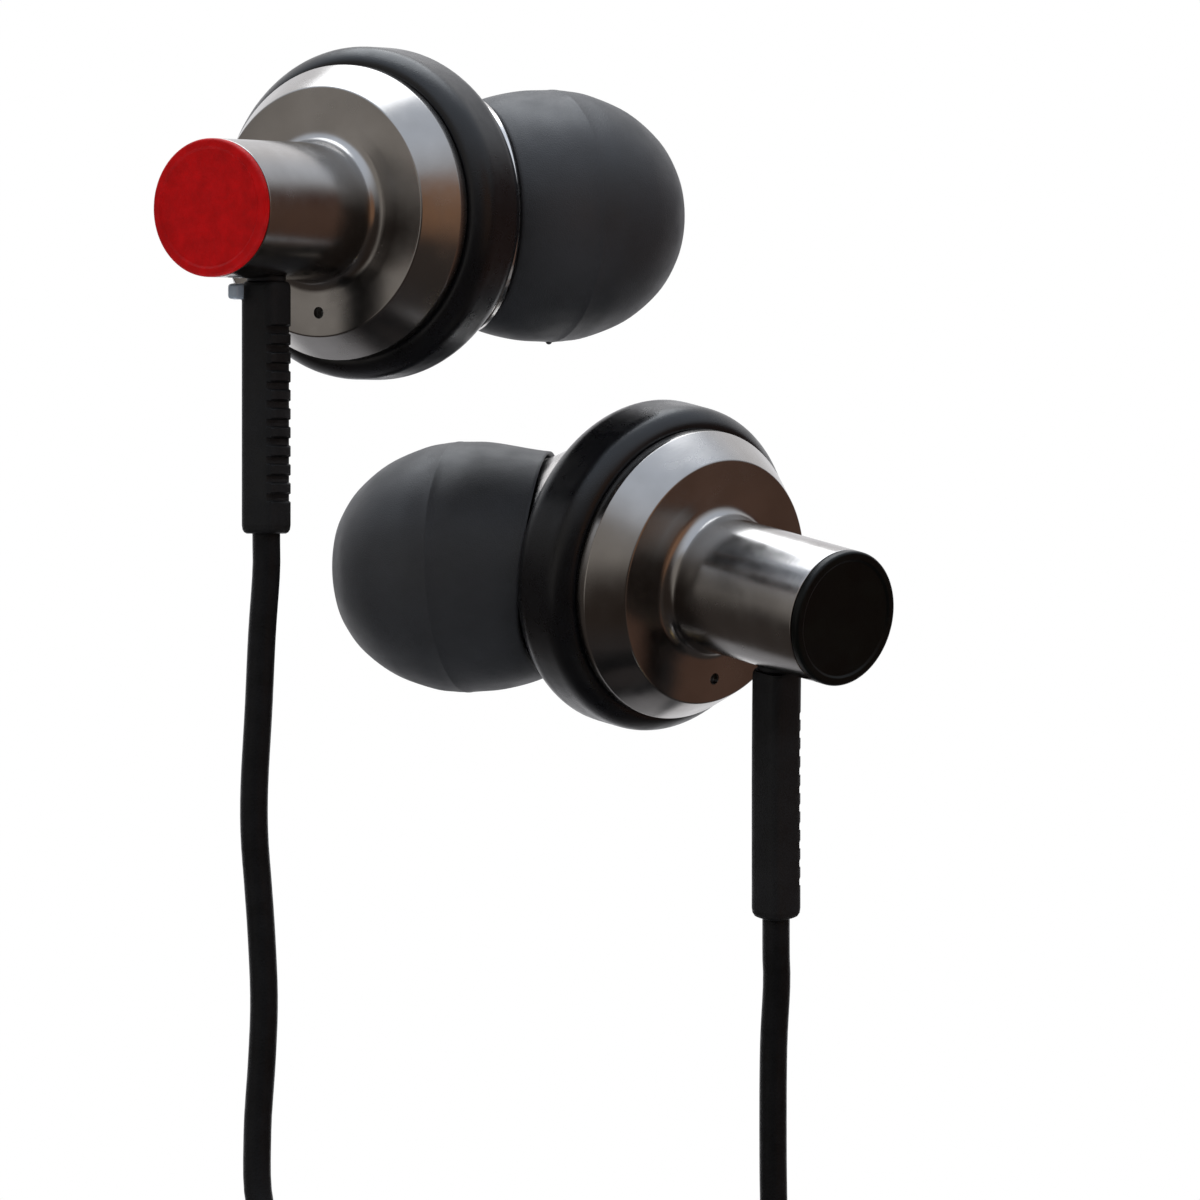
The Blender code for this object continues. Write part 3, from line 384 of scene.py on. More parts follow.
def flowing(points, steps):
    """A smooth curve through the points, which may have two or three coordinates."""
    points = [Vector(point) for point in points]
    ends = [2 * points[0] - points[1]] + points + [2 * points[-1] - points[-2]]
    curve = [points[0]]
    for before, start, end, after in zip(ends, ends[1:], ends[2:], ends[3:]):
        for step in range(1, steps + 1):
            t = step / steps
            curve.append(
                0.5 * (2 * start + (end - before) * t
                       + (2 * before - 5 * start + 4 * end - after) * t**2
                       + (3 * start - before - 3 * end + after) * t**3)
            )
    return curve


def spun(outline, steps=144, closed=True):
    """The outline of (radius, height) turned round z."""
    bm = bmesh.new()
    verts = [bm.verts.new((x, 0, z)) for x, z in outline]
    edges = [bm.edges.new(pair) for pair in zip(verts, verts[1:])]
    if closed:
        edges.append(bm.edges.new((verts[-1], verts[0])))
    bmesh.ops.spin(
        bm, geom=verts + edges, cent=(0, 0, 0), axis=(0, 0, 1), angle=2 * math.pi, steps=steps,
        use_merge=True, use_duplicate=False,
    )
    bmesh.ops.remove_doubles(bm, verts=bm.verts, dist=0.0005)
    return bm


def turned_piece(name, corners, look, slot, node_name, place, steps=96):
    """A solid turned from the corners of its outline, which starts and ends on the axis."""
    solid = spun(rounded(corners, False), steps, False)
    return finished(solid, name, look, [node_name], place)


def bridged(rings, segments=96):
    """A closed skin over circles given as (centre, turn, radius)."""
    bm = bmesh.new()
    loops = []
    for centre, turn, radius in rings:
        place = Matrix.Translation(centre) @ turn
        made = bmesh.ops.create_circle(bm, segments=segments, radius=radius, matrix=place)
        loops.append([e for e in bm.edges if e.verts[0] in made["verts"] and e.verts[1] in made["verts"]])
    for low, high in zip(loops, loops[1:] + loops[:1]):
        bmesh.ops.bridge_loops(bm, edges=low + high)
    return bm


def rounded_face(bm, width, depth, corner, segments=4):
    """A face with rounded corners in the plane across y, about the origin."""
    made = bmesh.ops.create_grid(bm, x_segments=1, y_segments=1, size=0.5)
    bmesh.ops.scale(bm, vec=(width, depth, 1), verts=made["verts"])
    bmesh.ops.rotate(bm, matrix=Matrix.Rotation(math.pi / 2, 3, "X"), verts=made["verts"])
    bmesh.ops.bevel(
        bm, geom=made["verts"], offset=corner, segments=segments, affect="VERTICES", profile=0.5,
        material=-1,
    )
    return next(iter(bm.faces))


def drawn_out(width, depth, corner, stations):
    """A rounded face carried through stations of (centre, fullness, how far +x is cut in)."""
    bm = bmesh.new()
    face = rounded_face(bm, width, depth, corner)
    shape = [vert.co.copy() for vert in face.verts]

    def move(verts, centre, fullness, cut):
        for vert, offset in zip(verts, shape):
            vert.co = centre + Vector((min(offset.x * fullness, width / 2 - cut), 0, offset.z * fullness))

    move(face.verts, *stations[0])
    for station in stations[1:]:
        made = bmesh.ops.extrude_face_region(bm, geom=[face])
        face = next(g for g in made["geom"] if isinstance(g, bmesh.types.BMFace))
        move(face.verts, *station)
    return bm


def carve(piece, cutters):
    """Cuts the cutters, given as bmeshes in the piece's place, from a finished piece."""
    for bm in cutters:
        mesh = bpy.data.meshes.new("cutter")
        bmesh.ops.recalc_face_normals(bm, faces=bm.faces)
        bm.to_mesh(mesh)
        bm.free()
        cutter = bpy.data.objects.new("cutter", mesh)
        bpy.context.scene.collection.objects.link(cutter)
        boolean = piece.modifiers.new("cut", "BOOLEAN")
        boolean.object = cutter
        boolean.solver = "EXACT"
        graph = bpy.context.evaluated_depsgraph_get()
        carved = bpy.data.meshes.new_from_object(piece.evaluated_get(graph))
        piece.modifiers.remove(boolean)
        piece.data = carved
        bpy.data.objects.remove(cutter)
    piece.data.set_sharp_from_angle(angle=math.radians(SHARP_ANGLE))


def rod(radius, start, end, place, segments=48):
    """A plain cutter between two points."""
    bm = bmesh.new()
    start, end = Vector(start), Vector(end)
    way = end - start
    turn = way.to_track_quat("Z", "Y").to_matrix().to_4x4()
    bmesh.ops.create_cone(
        bm, cap_ends=True, segments=segments, radius1=radius, radius2=radius, depth=way.length,
        matrix=place @ Matrix.Translation((start + end) / 2) @ turn,
    )
    return bm


# -------------------- looks

def make_gunmetal(name, place):
    """Polished dark metal, turned round the z of this frame."""
    return finish_look(
        name, (0.33, 0.315, 0.3), (0.41, 0.395, 0.38), (0.17, 0.24), 1.0, mottle=350, grain=6000,
        depth=0.0016, smudges=0.07, place=place, lines=7.0,
    )


def make_looks():
    """The finishes that several pieces share."""
    return {
        "bright": finish_look(
            "polished steel", (0.62, 0.6, 0.58), (0.75, 0.73, 0.7), (0.1, 0.18), 1.0, depth=0.002
        ),
        "rubber": finish_look(
            "black rubber", (0.002, 0.002, 0.0025), (0.004, 0.004, 0.005), (0.24, 0.34), grain=16000,
            depth=0.003, specular=0.45,
        ),
        "relief": finish_look(
            "matt black rubber", (0.004, 0.004, 0.004), (0.008, 0.008, 0.0085), (0.45, 0.58),
            grain=14000, depth=0.006, specular=0.3,
        ),
        "silicone": finish_look(
            "tip silicone", (0.02, 0.0205, 0.022), (0.028, 0.0285, 0.031), (0.44, 0.54), mottle=260,
            grain=15000, depth=0.005, smudges=0.06, specular=0.45,
        ),
        "jacket": finish_look(
            "cord jacket", (0.002, 0.002, 0.002), (0.0045, 0.0045, 0.005), (0.4, 0.55), mottle=900,
            grain=12000, depth=0.008, specular=0.2,
        ),
        "plastic": finish_look(
            "black plastic", (0.006, 0.006, 0.007), (0.012, 0.012, 0.013), (0.28, 0.4), grain=7000,
            depth=0.008, specular=0.35,
        ),
        "red": finish_look(
            "red enamel", (0.36, 0.0005, 0.001), (0.5, 0.001, 0.002), (0.35, 0.5), mottle=1500,
            grain=6000, depth=0.008, specular=0.12,
        ),
        "black": finish_look(
            "black enamel", (0.001, 0.0012, 0.001), (0.002, 0.003, 0.002), (0.3, 0.4), mottle=600,
            grain=6000, depth=0.003, specular=0.2,
        ),
        "nickel": finish_look(
            "nickel plate", (0.42, 0.42, 0.43), (0.55, 0.55, 0.55), (0.25, 0.4), 1.0, depth=0.004
        ),
        "copper": finish_look(
            "enamelled copper", (0.6, 0.25, 0.12), (0.8, 0.38, 0.2), (0.25, 0.4), 1.0, mottle=2000
        ),
        "film": finish_look(
            "diaphragm film", (0.5, 0.42, 0.26), (0.6, 0.52, 0.34), (0.2, 0.32), depth=0.003
        ),
        "board": finish_look(
            "terminal board", (0.01, 0.1, 0.04), (0.03, 0.17, 0.08), (0.35, 0.5), mottle=1500
        ),
        "felt": finish_look(
            "damping felt", (0.42, 0.42, 0.4), (0.6, 0.6, 0.57), (0.85, 1.0), mottle=3000,
            grain=5000, depth=0.06, smudges=0,
        ),
        "marker": finish_look(
            "marker plastic", (0.2, 0.23, 0.26), (0.32, 0.35, 0.38), (0.1, 0.2), depth=0.002, coat=0.5
        ),
        "gold": finish_look(
            "gold plate", (0.78, 0.55, 0.2), (0.9, 0.68, 0.3), (0.14, 0.24), 1.0, depth=0.002
        ),
    }


# -------------------- earphones

def front_place(side_name, side):
    """The front shell's frame, in millimetres, from the cap face and the way the tip pulls off."""
    face = mounts[f"{side_name}_cap_face"]
    stem = Vector(face["axis"]).normalized()
    nozzle = Vector(joints[f"{side_name}_tip_pull_off"]["axis"])
    across = (nozzle + stem * math.cos(NOZZLE_ANGLE)).normalized() * side
    turn = Matrix((across, stem.cross(across), stem)).transposed().to_4x4()
    return Matrix.Translation(Vector(face["pos_m"]) - stem * CAP_FACE_Z * MM) @ turn @ IN_MM


def earphone_place(side_name, side):
    """The rear shell's frame, which the front one is turned in."""
    return front_place(side_name, side) @ Matrix.Rotation(-NOZZLE_TURNS[side_name], 4, "Z")


def nozzle_turn(side):
    """The turn that lays z along the nozzle."""
    return Matrix.Rotation(math.pi - side * NOZZLE_ANGLE, 4, "Y")


def nozzle_point(side, along):
    """A point on the nozzle's axis, this far from its elbow."""
    way = Vector((side * math.sin(NOZZLE_ANGLE), 0, -math.cos(NOZZLE_ANGLE)))
    return Vector((0, 0, NOZZLE_ELBOW_Z)) + way * along


def rear_shell(side_name, place, look):
    """The housing behind the driver: chamfered face, filleted stem, vent and the cord's exit."""
    seam = SHELL_SEAM_Z + 0.025
    outline = rounded([
        (STEM_RADIUS, STEM_END_Z, 0.05),
        (STEM_RADIUS, FACE_Z, STEM_FILLET),
        (0.5 * (CHAMFER_RADIUS + STEM_RADIUS), FACE_Z - 0.01, 6.0),
        (CHAMFER_RADIUS, FACE_Z - FACE_CROWN, 0.14),
        (RIM_RADIUS, RIM_TOP_Z, 0.16),
        (RIM_RADIUS, RIM_Z, 0.1),
        (SHELL_RADIUS, RIM_Z, 0),
        (SHELL_RADIUS, seam, 0.05),
        (DRIVER_BORE_RADIUS, seam, 0.05),
        (DRIVER_BORE_RADIUS, RIM_Z, 0),
        (CHAMFER_RADIUS - FACE_WALL, FACE_Z - FACE_WALL, 0.1),
        (STEM_BORE_RADIUS, FACE_Z - FACE_WALL, 0.1),
        (STEM_BORE_RADIUS, STEM_END_Z, 0.05),
    ])
    name = f"{side_name}_rear_shell"
    shell = finished(spun(outline), f"{side_name}_housing", look, [name], place)
    vent = rod(VENT_RADIUS, (0, -VENT_OFFSET, FACE_Z - 1), (0, -VENT_OFFSET, FACE_Z + 1), place, 31)
    exit_hole = rod(
        NECK_RADIUS + 0.1, (0, -STEM_RADIUS + 1.5, RELIEF_Z), (0, -STEM_RADIUS - 1.5, RELIEF_Z), place, 37
    )
    carve(shell, [vent, exit_hole])


def grommet(side_name, place):
    """The lip round the cord's exit from the stem."""
    outer, inner = NECK_RADIUS + 0.12, NECK_RADIUS - 0.02
    corners = [(outer, 0.0, 0.02), (outer, 0.22, 0.04), (inner, 0.22, 0.04), (inner, 0.0, 0.02)]
    lip = spun(rounded(corners), 48)
    outwards = Matrix.Rotation(math.pi / 2, 4, "X")
    at = place @ Matrix.Translation((0, -STEM_RADIUS + 0.1, RELIEF_Z)) @ outwards
    finished(lip, f"{side_name}_grommet", LOOKS["relief"], place=at)


def end_cap(side_name, place, look, slot):
    """A pressed-in cap with a thin raised rim."""
    corners = [
        (0, CAP_FACE_Z, 0),
        (STEM_RADIUS - 0.5, CAP_FACE_Z, 0.1),
        (STEM_RADIUS - 0.38, CAP_TOP_Z, 0.08),
        (STEM_RADIUS, CAP_TOP_Z, 0.16),
        (STEM_RADIUS, CAP_BASE_Z, 0.06),
        (CAP_PLUG_RADIUS, CAP_BASE_Z, 0.03),
        (CAP_PLUG_RADIUS, CAP_PLUG_Z, 0.1),
        (0, CAP_PLUG_Z, 0),
    ]
    turned_piece(f"{side_name}_stem_cap", corners, look, slot, f"{side_name}_end_cap", place, 128)


def bumper_ring(side_name, place):
    """A soft ring round the seam, with a flat band between two rounded shoulders."""
    bore, crown = RING_BORE_RADIUS, RING_RADIUS - RING_BORE_RADIUS
    upper = flowing([
        (bore + 0.02, RING_HALF - 0.16),
        (bore + 0.2 * crown, RING_HALF - 0.02),
        (bore + 0.5 * crown, RING_HALF - 0.08),
        (bore + 0.82 * crown, 0.5 * (RING_HALF + RING_FLAT_HALF)),
        (RING_RADIUS - 0.02, RING_FLAT_HALF),
        (RING_RADIUS, 0.3),
    ], 5)
    lower = flowing([
        (RING_RADIUS, -0.3),
        (RING_RADIUS - 0.03, -0.85),
        (bore + 0.79 * crown, -RING_HALF + 0.56),
        (bore + 0.48 * crown, -RING_HALF + 0.24),
        (bore + 0.22 * crown, -RING_HALF + 0.11),
        (bore + 0.02, -RING_HALF + 0.2),
    ], 5)
    finished(
        spun(upper + lower), f"{side_name}_bumper", LOOKS["rubber"],
        [f"{side_name}_bumper_ring"], place,
    )


def front_shell(side_name, side, place):
    """The chamber in front of the driver, the slanted seat of the ear tip and the barbed nozzle."""
    lean = nozzle_turn(side)
    seam = SHELL_SEAM_Z - 0.025
    seat = SEAT_RADII[side_name]

    def on_nozzle(along, radius):
        return nozzle_point(side, along), lean, radius

    def on_level(z, radius):
        return Vector((0, 0, z)), Matrix.Rotation(math.pi, 4, "Y"), radius

    bell = [
        on_level(seam, SHELL_RADIUS),
        on_level(-RIM_Z + 0.08, SHELL_RADIUS),
        on_level(-RIM_Z - 0.02, SHELL_RADIUS - 0.06),
    ]
    drops = ((0.42, 0.04), (0.36, 0.0), (0.2, 0.02), (0.06, 0.14), (0.0, 0.32))
    bell += [on_nozzle(NOZZLE_SEAT - back, seat - drop) for back, drop in drops]
    neck = [
        (NOZZLE_SEAT, NOZZLE_RADIUS + 0.25),
        (NOZZLE_SEAT + 0.08, NOZZLE_RADIUS + 0.08),
        (NOZZLE_SEAT + 0.25, NOZZLE_RADIUS),
        (NOZZLE_END - 1.2, NOZZLE_RADIUS),
    ]
    barb = [
        (NOZZLE_END - 1.08, BARB_RADIUS - 0.04),
        (NOZZLE_END - 0.95, BARB_RADIUS),
        (NOZZLE_END - 0.5, BARB_RADIUS),
        (NOZZLE_END - 0.1, NOZZLE_RADIUS),
        (NOZZLE_END, NOZZLE_RADIUS - 0.14),
    ]
    bore = [
        (NOZZLE_END, NOZZLE_BORE_RADIUS + 0.08),
        (NOZZLE_END - 0.08, NOZZLE_BORE_RADIUS),
        (NOZZLE_SEAT - 0.5, NOZZLE_BORE_RADIUS),
        (NOZZLE_SEAT - 0.5, seat - 0.7),
    ]
    nozzle = [on_nozzle(along, radius) for along, radius in neck + barb + bore]
    chamber = [on_level(-RIM_Z + 0.05, DRIVER_BORE_RADIUS - 0.05), on_level(seam, DRIVER_BORE_RADIUS)]
    finished(
        bridged(bell + nozzle + chamber), f"{side_name}_nozzle_housing", LOOKS["bright"],
        [f"{side_name}_front_shell"], place,
    )


def draw_skirt(bm, reach):
    """Draws the upper edge of a tip's skirt towards the ring by the reach, and thins it."""
    top = Vector((0.35, 0.937))
    for vert in bm.verts:
        radius = vert.co.to_2d().length
        if radius > SKIRT_BORE_RADIUS - 0.16 and vert.co.z < SKIRT_BEND:
            share = 1 - max(vert.co.z, 0) / SKIRT_BEND
            upper = max(0.0, vert.co.to_2d().normalized().dot(top))
            widening = SKIRT_FLARE - SKIRT_THINNING * (radius - SKIRT_BORE_RADIUS)
            vert.co.z -= reach * share * share * upper**1.5
            vert.co.xy *= 1 + widening * reach * share * share * upper


def ear_tip(side_name, side, place):
    """A soft mushroom: a dome on a core tube, with the parting line of its mould round the widest part."""
    outside = flowing([
        (2.45, TIP_LENGTH), (3.05, 9.52), (4.08, 8.7), (5.13, 7.25), (5.79, 5.49), (5.96, 4.4),
    ], 6)
    seam = [Vector(point) for point in ((5.985, 4.02), (6.0, 3.98), (6.0, 3.9), (5.985, 3.86))]
    skirt = flowing([(5.97, 3.5), (5.93, 2.5), (5.79, 1.57), (5.58, 0.7), (5.36, 0.1)], 5)
    hem = flowing([(5.3, 0.0), (5.1, -0.02), (4.9, 0.08), (SKIRT_BORE_RADIUS, 0.3)], 3)
    inside = flowing([
        (5.1, 1.6), (5.32, 3.9), (5.1, 5.4), (4.6, 6.8), (4.0, 7.4), (3.55, 7.3), (3.5, 6.6),
    ], 4)
    core = rounded([
        (3.5, 6.4, 0), (3.5, 0.35, 0.15), (2.95, 0.35, 0.15), (2.95, 8.62, 0.1), (2.1, 8.9, 0.1),
        (2.1, TIP_LENGTH - 0.05, 0.12),
    ], closed=False)
    lip = [Vector((2.18, TIP_LENGTH - 0.01)), Vector((2.3, TIP_LENGTH))]
    bm = spun(outside + seam + skirt + hem + inside + core[:-1] + lip)
    draw_skirt(bm, SKIRT_REACH[side_name])
    at = place @ Matrix.Translation(nozzle_point(side, TIP_START)) @ nozzle_turn(side)
    finished(
        bm, f"{side_name}_silicone_tip", LOOKS["silicone"], [f"{side_name}_ear_tip"], at,
        60, f"{side_name}_tip",
    )


def tip_flash(side_name, side, place):
    """The nib that the mould leaves on the parting line."""
    bm = bmesh.new()
    bmesh.ops.create_icosphere(bm, subdivisions=3, radius=0.15)
    bmesh.ops.scale(bm, vec=(1.2, 1.0, 1.0), verts=bm.verts)
    at = place @ Matrix.Translation(nozzle_point(side, TIP_START)) @ nozzle_turn(side)
    at = at @ Matrix.Translation((0.2, -5.95, 3.94))
    finished(
        bm, f"{side_name}_tip_flash", LOOKS["silicone"], place=at, body=f"{side_name}_tip"
    )


def nozzle_mesh(side_name, side, place):
    """A perforated screen in a turned rim."""
    bm = bmesh.new()
    bmesh.ops.create_grid(
        bm, x_segments=MESH_CELLS, y_segments=MESH_CELLS, size=MESH_CELLS * MESH_PITCH / 2
    )
    outer = [f for f in bm.faces if f.calc_center_median().length > NOZZLE_BORE_RADIUS - 0.1]
    bmesh.ops.delete(bm, geom=outer, context="FACES")
    bmesh.ops.inset_individual(bm, faces=bm.faces, thickness=MESH_WIRE / 2, depth=0.0)
    hole_side = MESH_PITCH - MESH_WIRE
    holes = [f for f in bm.faces if max(e.calc_length() for e in f.edges) < hole_side + 0.04]
    bmesh.ops.delete(bm, geom=holes, context="FACES")
    bmesh.ops.solidify(bm, geom=bm.faces, thickness=0.06)
    at = place @ Matrix.Translation(nozzle_point(side, MESH_ALONG)) @ nozzle_turn(side)
    replaced = [f"{side_name}_nozzle_mesh"]
    finished(bm, f"{side_name}_wire_mesh", LOOKS["bright"], replaced, at)
    outer, inner = NOZZLE_BORE_RADIUS - 0.03, NOZZLE_BORE_RADIUS - 0.25
    corners = [(outer, 0.14, 0.03), (outer, -0.02, 0.03), (inner, -0.02, 0.03), (inner, 0.14, 0.03)]
    rim = spun(rounded(corners), 96)
    finished(rim, f"{side_name}_mesh_rim", LOOKS["bright"], place=at)


def relief_route(place):
    """Centres along the strain relief: out of the stem, then hanging down."""
    down = (place.to_3x3().normalized().inverted() @ Vector((0, 0, -1))).normalized()
    route = [Vector((0, -STEM_RADIUS - 0.1, RELIEF_Z))]
    for i in range(RELIEF_STEPS):
        way = Vector((0, -1, 0)).lerp(down, min(1.0, 2 * (i + 0.5) / RELIEF_STEPS)).normalized()
        route.append(route[-1] + way * RELIEF_LENGTH / RELIEF_STEPS)
    return route


def strain_relief(side_name, place):
    """The neck in the stem's wall and the body, whose nozzle side is notched so that it can bend."""
    route = relief_route(place)

    def at(along):
        spot = min(along / RELIEF_LENGTH * RELIEF_STEPS, RELIEF_STEPS - 0.001)
        return route[int(spot)].lerp(route[int(spot) + 1], spot - int(spot))

    neck = (-STEM_BORE_RADIUS + 1.0, -STEM_RADIUS - 0.12)
    top = ((0.03, 0.86), (0.1, 0.94), (0.22, 0.985), (0.4, 1.0))
    notch = ((-0.26, 0), (-0.2, 0.5), (-0.14, 0.95), (0, 1), (0.14, 0.95), (0.2, 0.5), (0.26, 0))
    end = ((0.4, 1.0), (0.18, 0.97), (0.06, 0.9), (0.0, 0.8))
    stations = [(Vector((0, y, RELIEF_Z)), 0.72, 0.0) for y in neck]
    stations += [(at(along), full, 0.0) for along, full in top]
    for number in range(NOTCHES):
        middle = NOTCH_START + number * NOTCH_PITCH
        stations += [(at(middle + offset), 1.0, NOTCH_DEPTH * depth) for offset, depth in notch]
    stations += [(at(RELIEF_LENGTH - back), full, 0.0) for back, full in end]
    finished(
        drawn_out(RELIEF_WIDTH, RELIEF_DEPTH, RELIEF_CORNER, stations), f"{side_name}_relief",
        LOOKS["relief"], [f"{side_name}_strain_relief"], place, 40,
    )


def side_marker(place):
    """The small raised mark by the right strain relief, which tells the two sides apart by touch."""
    bm = bmesh.new()
    bmesh.ops.create_cube(bm, size=1)
    bmesh.ops.scale(bm, vec=(0.7, 0.8, 0.6), verts=bm.verts)
    bmesh.ops.scale(bm, vec=(0.75, 0.85, 1), verts=[v for v in bm.verts if v.co.z > 0])
    bmesh.ops.bevel(
        bm, geom=bm.edges, offset=0.14, segments=4, affect="EDGES", profile=0.5, material=-1
    )
    middle = Vector((-0.8, -STEM_RADIUS - 0.6, RELIEF_Z + RELIEF_DEPTH / 2 + 0.4))
    at = place @ Matrix.Translation(middle)
    finished(bm, "side_marker", LOOKS["marker"], ["right_side_marker"], at, 50)


def inner_pieces(side_name):
    """The hidden pieces keep their shape and get a real finish."""
    looks = {
        "driver_frame": "plastic", "driver_yoke": "nickel", "magnet": "nickel", "top_plate": "nickel",
        "terminal_board": "board", "diaphragm": "film", "voice_coil": "copper", "cord_anchor": "plastic",
        "signal_wire": "copper", "ground_wire": "copper", "vent_screen": "felt",
    }
    for kind, look in looks.items():
        slots = frame["nodes"][f"{side_name}_{kind}"].data.materials
        slots.clear()
        slots.append(LOOKS[look])


def earphone(side_name, side):
    """One earphone, from its cap to its tip."""
    place = earphone_place(side_name, side)
    rear_shell(side_name, place, make_gunmetal(f"{side_name} gunmetal", place))
    grommet(side_name, place)
    if side_name == "right":
        end_cap(side_name, place, LOOKS["red"], "red_enamel")
        side_marker(place)
    else:
        end_cap(side_name, place, LOOKS["black"], "black_enamel")
    bumper_ring(side_name, place)
    front = front_place(side_name, side)
    front_shell(side_name, side, front)
    ear_tip(side_name, side, front)
    tip_flash(side_name, side, front)
    nozzle_mesh(side_name, side, front)
    strain_relief(side_name, place)
    inner_pieces(side_name)


# -------------------- cords

def coil_point(angle, radius, height):
    """A point about the coil's middle, with its angle in degrees."""
    a = math.radians(angle)
    return COIL_CENTRE + Vector((math.cos(a) * radius, math.sin(a) * radius, height))


def wound(angle, radius, height, moves, step=6.0):
    """Points of a cord wound about the coil's middle, counter-clockwise from an angle in degrees.

    Each move is (degrees, change of radius, change of height); heights ease in and out.
    """
    points = []
    for turn, out, rise in moves:
        count = max(2, round(turn / step))
        for i in range(count):
            share = i / count
            eased = share * share * (3 - 2 * share)
            points.append(coil_point(angle + turn * share, radius + out * share, height + rise * eased))
        angle, radius, height = angle + turn, radius + out, height + rise
    return points + [coil_point(angle, radius, height)]


def coil_angle(point):
    """The angle in degrees, and the radius, of a point about the coil's middle."""
    offset = Vector(point) - COIL_CENTRE
    return math.degrees(math.atan2(offset.y, offset.x)) % 360, offset.to_2d().length


def right_winding():
    """Comes down on the upper layer, spirals inwards, steps down a layer and spirals outwards."""
    angle, radius = coil_angle(RIGHT_UPPER[-1])
    start_z = RIGHT_UPPER[-1][2]
    landing, inner, outer = 12.2, 8.1, 12.9
    moves = [
        (300 - angle, landing - radius, UPPER_LAYER_Z - start_z),
        (200, inner - landing, 0),
        (40, 0, RIGHT_LAYER_Z - UPPER_LAYER_Z),
        (1260, outer - inner, 0),
    ]
    return wound(angle, radius, start_z, moves)


def left_winding():
    """Comes down just inside the coil, steps down past the right cord's layer and spirals outwards."""
    angle, radius = coil_angle(LEFT_UPPER[-1])
    start_z = LEFT_UPPER[-1][2]
    descent = 44
    sweep = 322 - angle
    inside, inner, outer = 6.6, 8.05, 12.95
    moves = [
        (descent, (inside - radius) * descent / sweep, UPPER_LAYER_Z - start_z),
        (sweep - descent, (inside - radius) * (sweep - descent) / sweep, 0),
        (80, 0, LEFT_LAYER_Z - UPPER_LAYER_Z),
        (50, inner - inside, 0),
        (1348, outer - inner, 0),
    ]
    return wound(angle, radius, start_z, moves)


def main_winding():
    """Four layers, wound inwards and outwards by turns, from the top one down to the floor."""
    outer = MAIN_INNER_RADIUS + 2 * MAIN_PITCH
    inwards = [(-MAIN_PITCH, 300), (-MAIN_PITCH, 240)]
    outwards = [(MAIN_PITCH, 300), (MAIN_PITCH, 240)]
    moves = []
    for first, steps in ((210, inwards), (240, outwards), (120, inwards), (240, outwards)):
        moves.append((first, 0, 0))
        for change, hold in steps:
            moves += [(60, change, 0), (hold, 0, 0)]
        moves.append((60, 0, -MAIN_PITCH))
    moves.pop()
    moves[-1] = (200, 0, 0)
    return wound(180, outer, MAIN_TOP_Z, moves)


def evenly(points, spacing):
    """The same line with points this far apart."""
    total = sum((b - a).length for a, b in zip(points, points[1:]))
    count = round(total / spacing)
    even, walked, wanted = [points[0]], 0.0, 1
    for a, b in zip(points, points[1:]):
        length = (b - a).length
        while wanted < count and walked + length >= wanted * total / count:
            even.append(a.lerp(b, (wanted * total / count - walked) / length))
            wanted += 1
        walked += length
    return even + [points[-1]], total


def make_cord(name, points, radius, replaces, spacing):
    """A round cord along these points."""
    line, length = evenly(points, spacing)
    curve = bpy.data.curves.new(name, "CURVE")
    curve.dimensions = "3D"
    curve.bevel_depth = radius * MM
    curve.bevel_resolution = 5
    curve.use_fill_caps = True
    spline = curve.splines.new("POLY")
    spline.points.add(len(line) - 1)
    for spot, place in zip(spline.points, line):
        spot.co = (*(place * MM), 1)
    spline.use_smooth = True
    curve.materials.append(LOOKS["jacket"])
    cord = put(bpy.data.objects.new(name, curve), replaces)


def branch_cord(side_name, side, upper, winding, lower):
    """A thin cord from inside its strain relief, through the coil, to the splitter."""
    place = earphone_place(side_name, side)
    route = relief_route(place)
    end, before = (place @ route[-1]) / MM, (place @ route[-2]) / MM
    way = (end - before).normalized()
    start = [end - way * 0.8, end + way * 0.3, end + way * 1.8]
    turns = winding()
    points = flowing(start + upper[:-1] + turns[:1], 10)[:-1]
    leaving = flowing([turns[-2], turns[-1]] + lower, 10)[10:]
    make_cord(
        f"{side_name}_cord", points + turns[:-1] + leaving, BRANCH_RADIUS,
        [f"{side_name}_cord_upper", f"{side_name}_cord_lower", "cord_coil"], 0.7,
    )


def main_cord():
    """The thick cord from the splitter, through the coil, to the plug."""
    turns = main_winding()
    coming = flowing(MAIN_UPPER + turns[:1], 10)[:-1]
    leaving = flowing([turns[-2], turns[-1]] + MAIN_LOWER, 10)[10:]
    make_cord(
        "main_cord", coming + turns[:-1] + leaving, MAIN_RADIUS,
        ["main_cord_upper", "main_cord_lower", "cord_coil"], 1.0,
    )


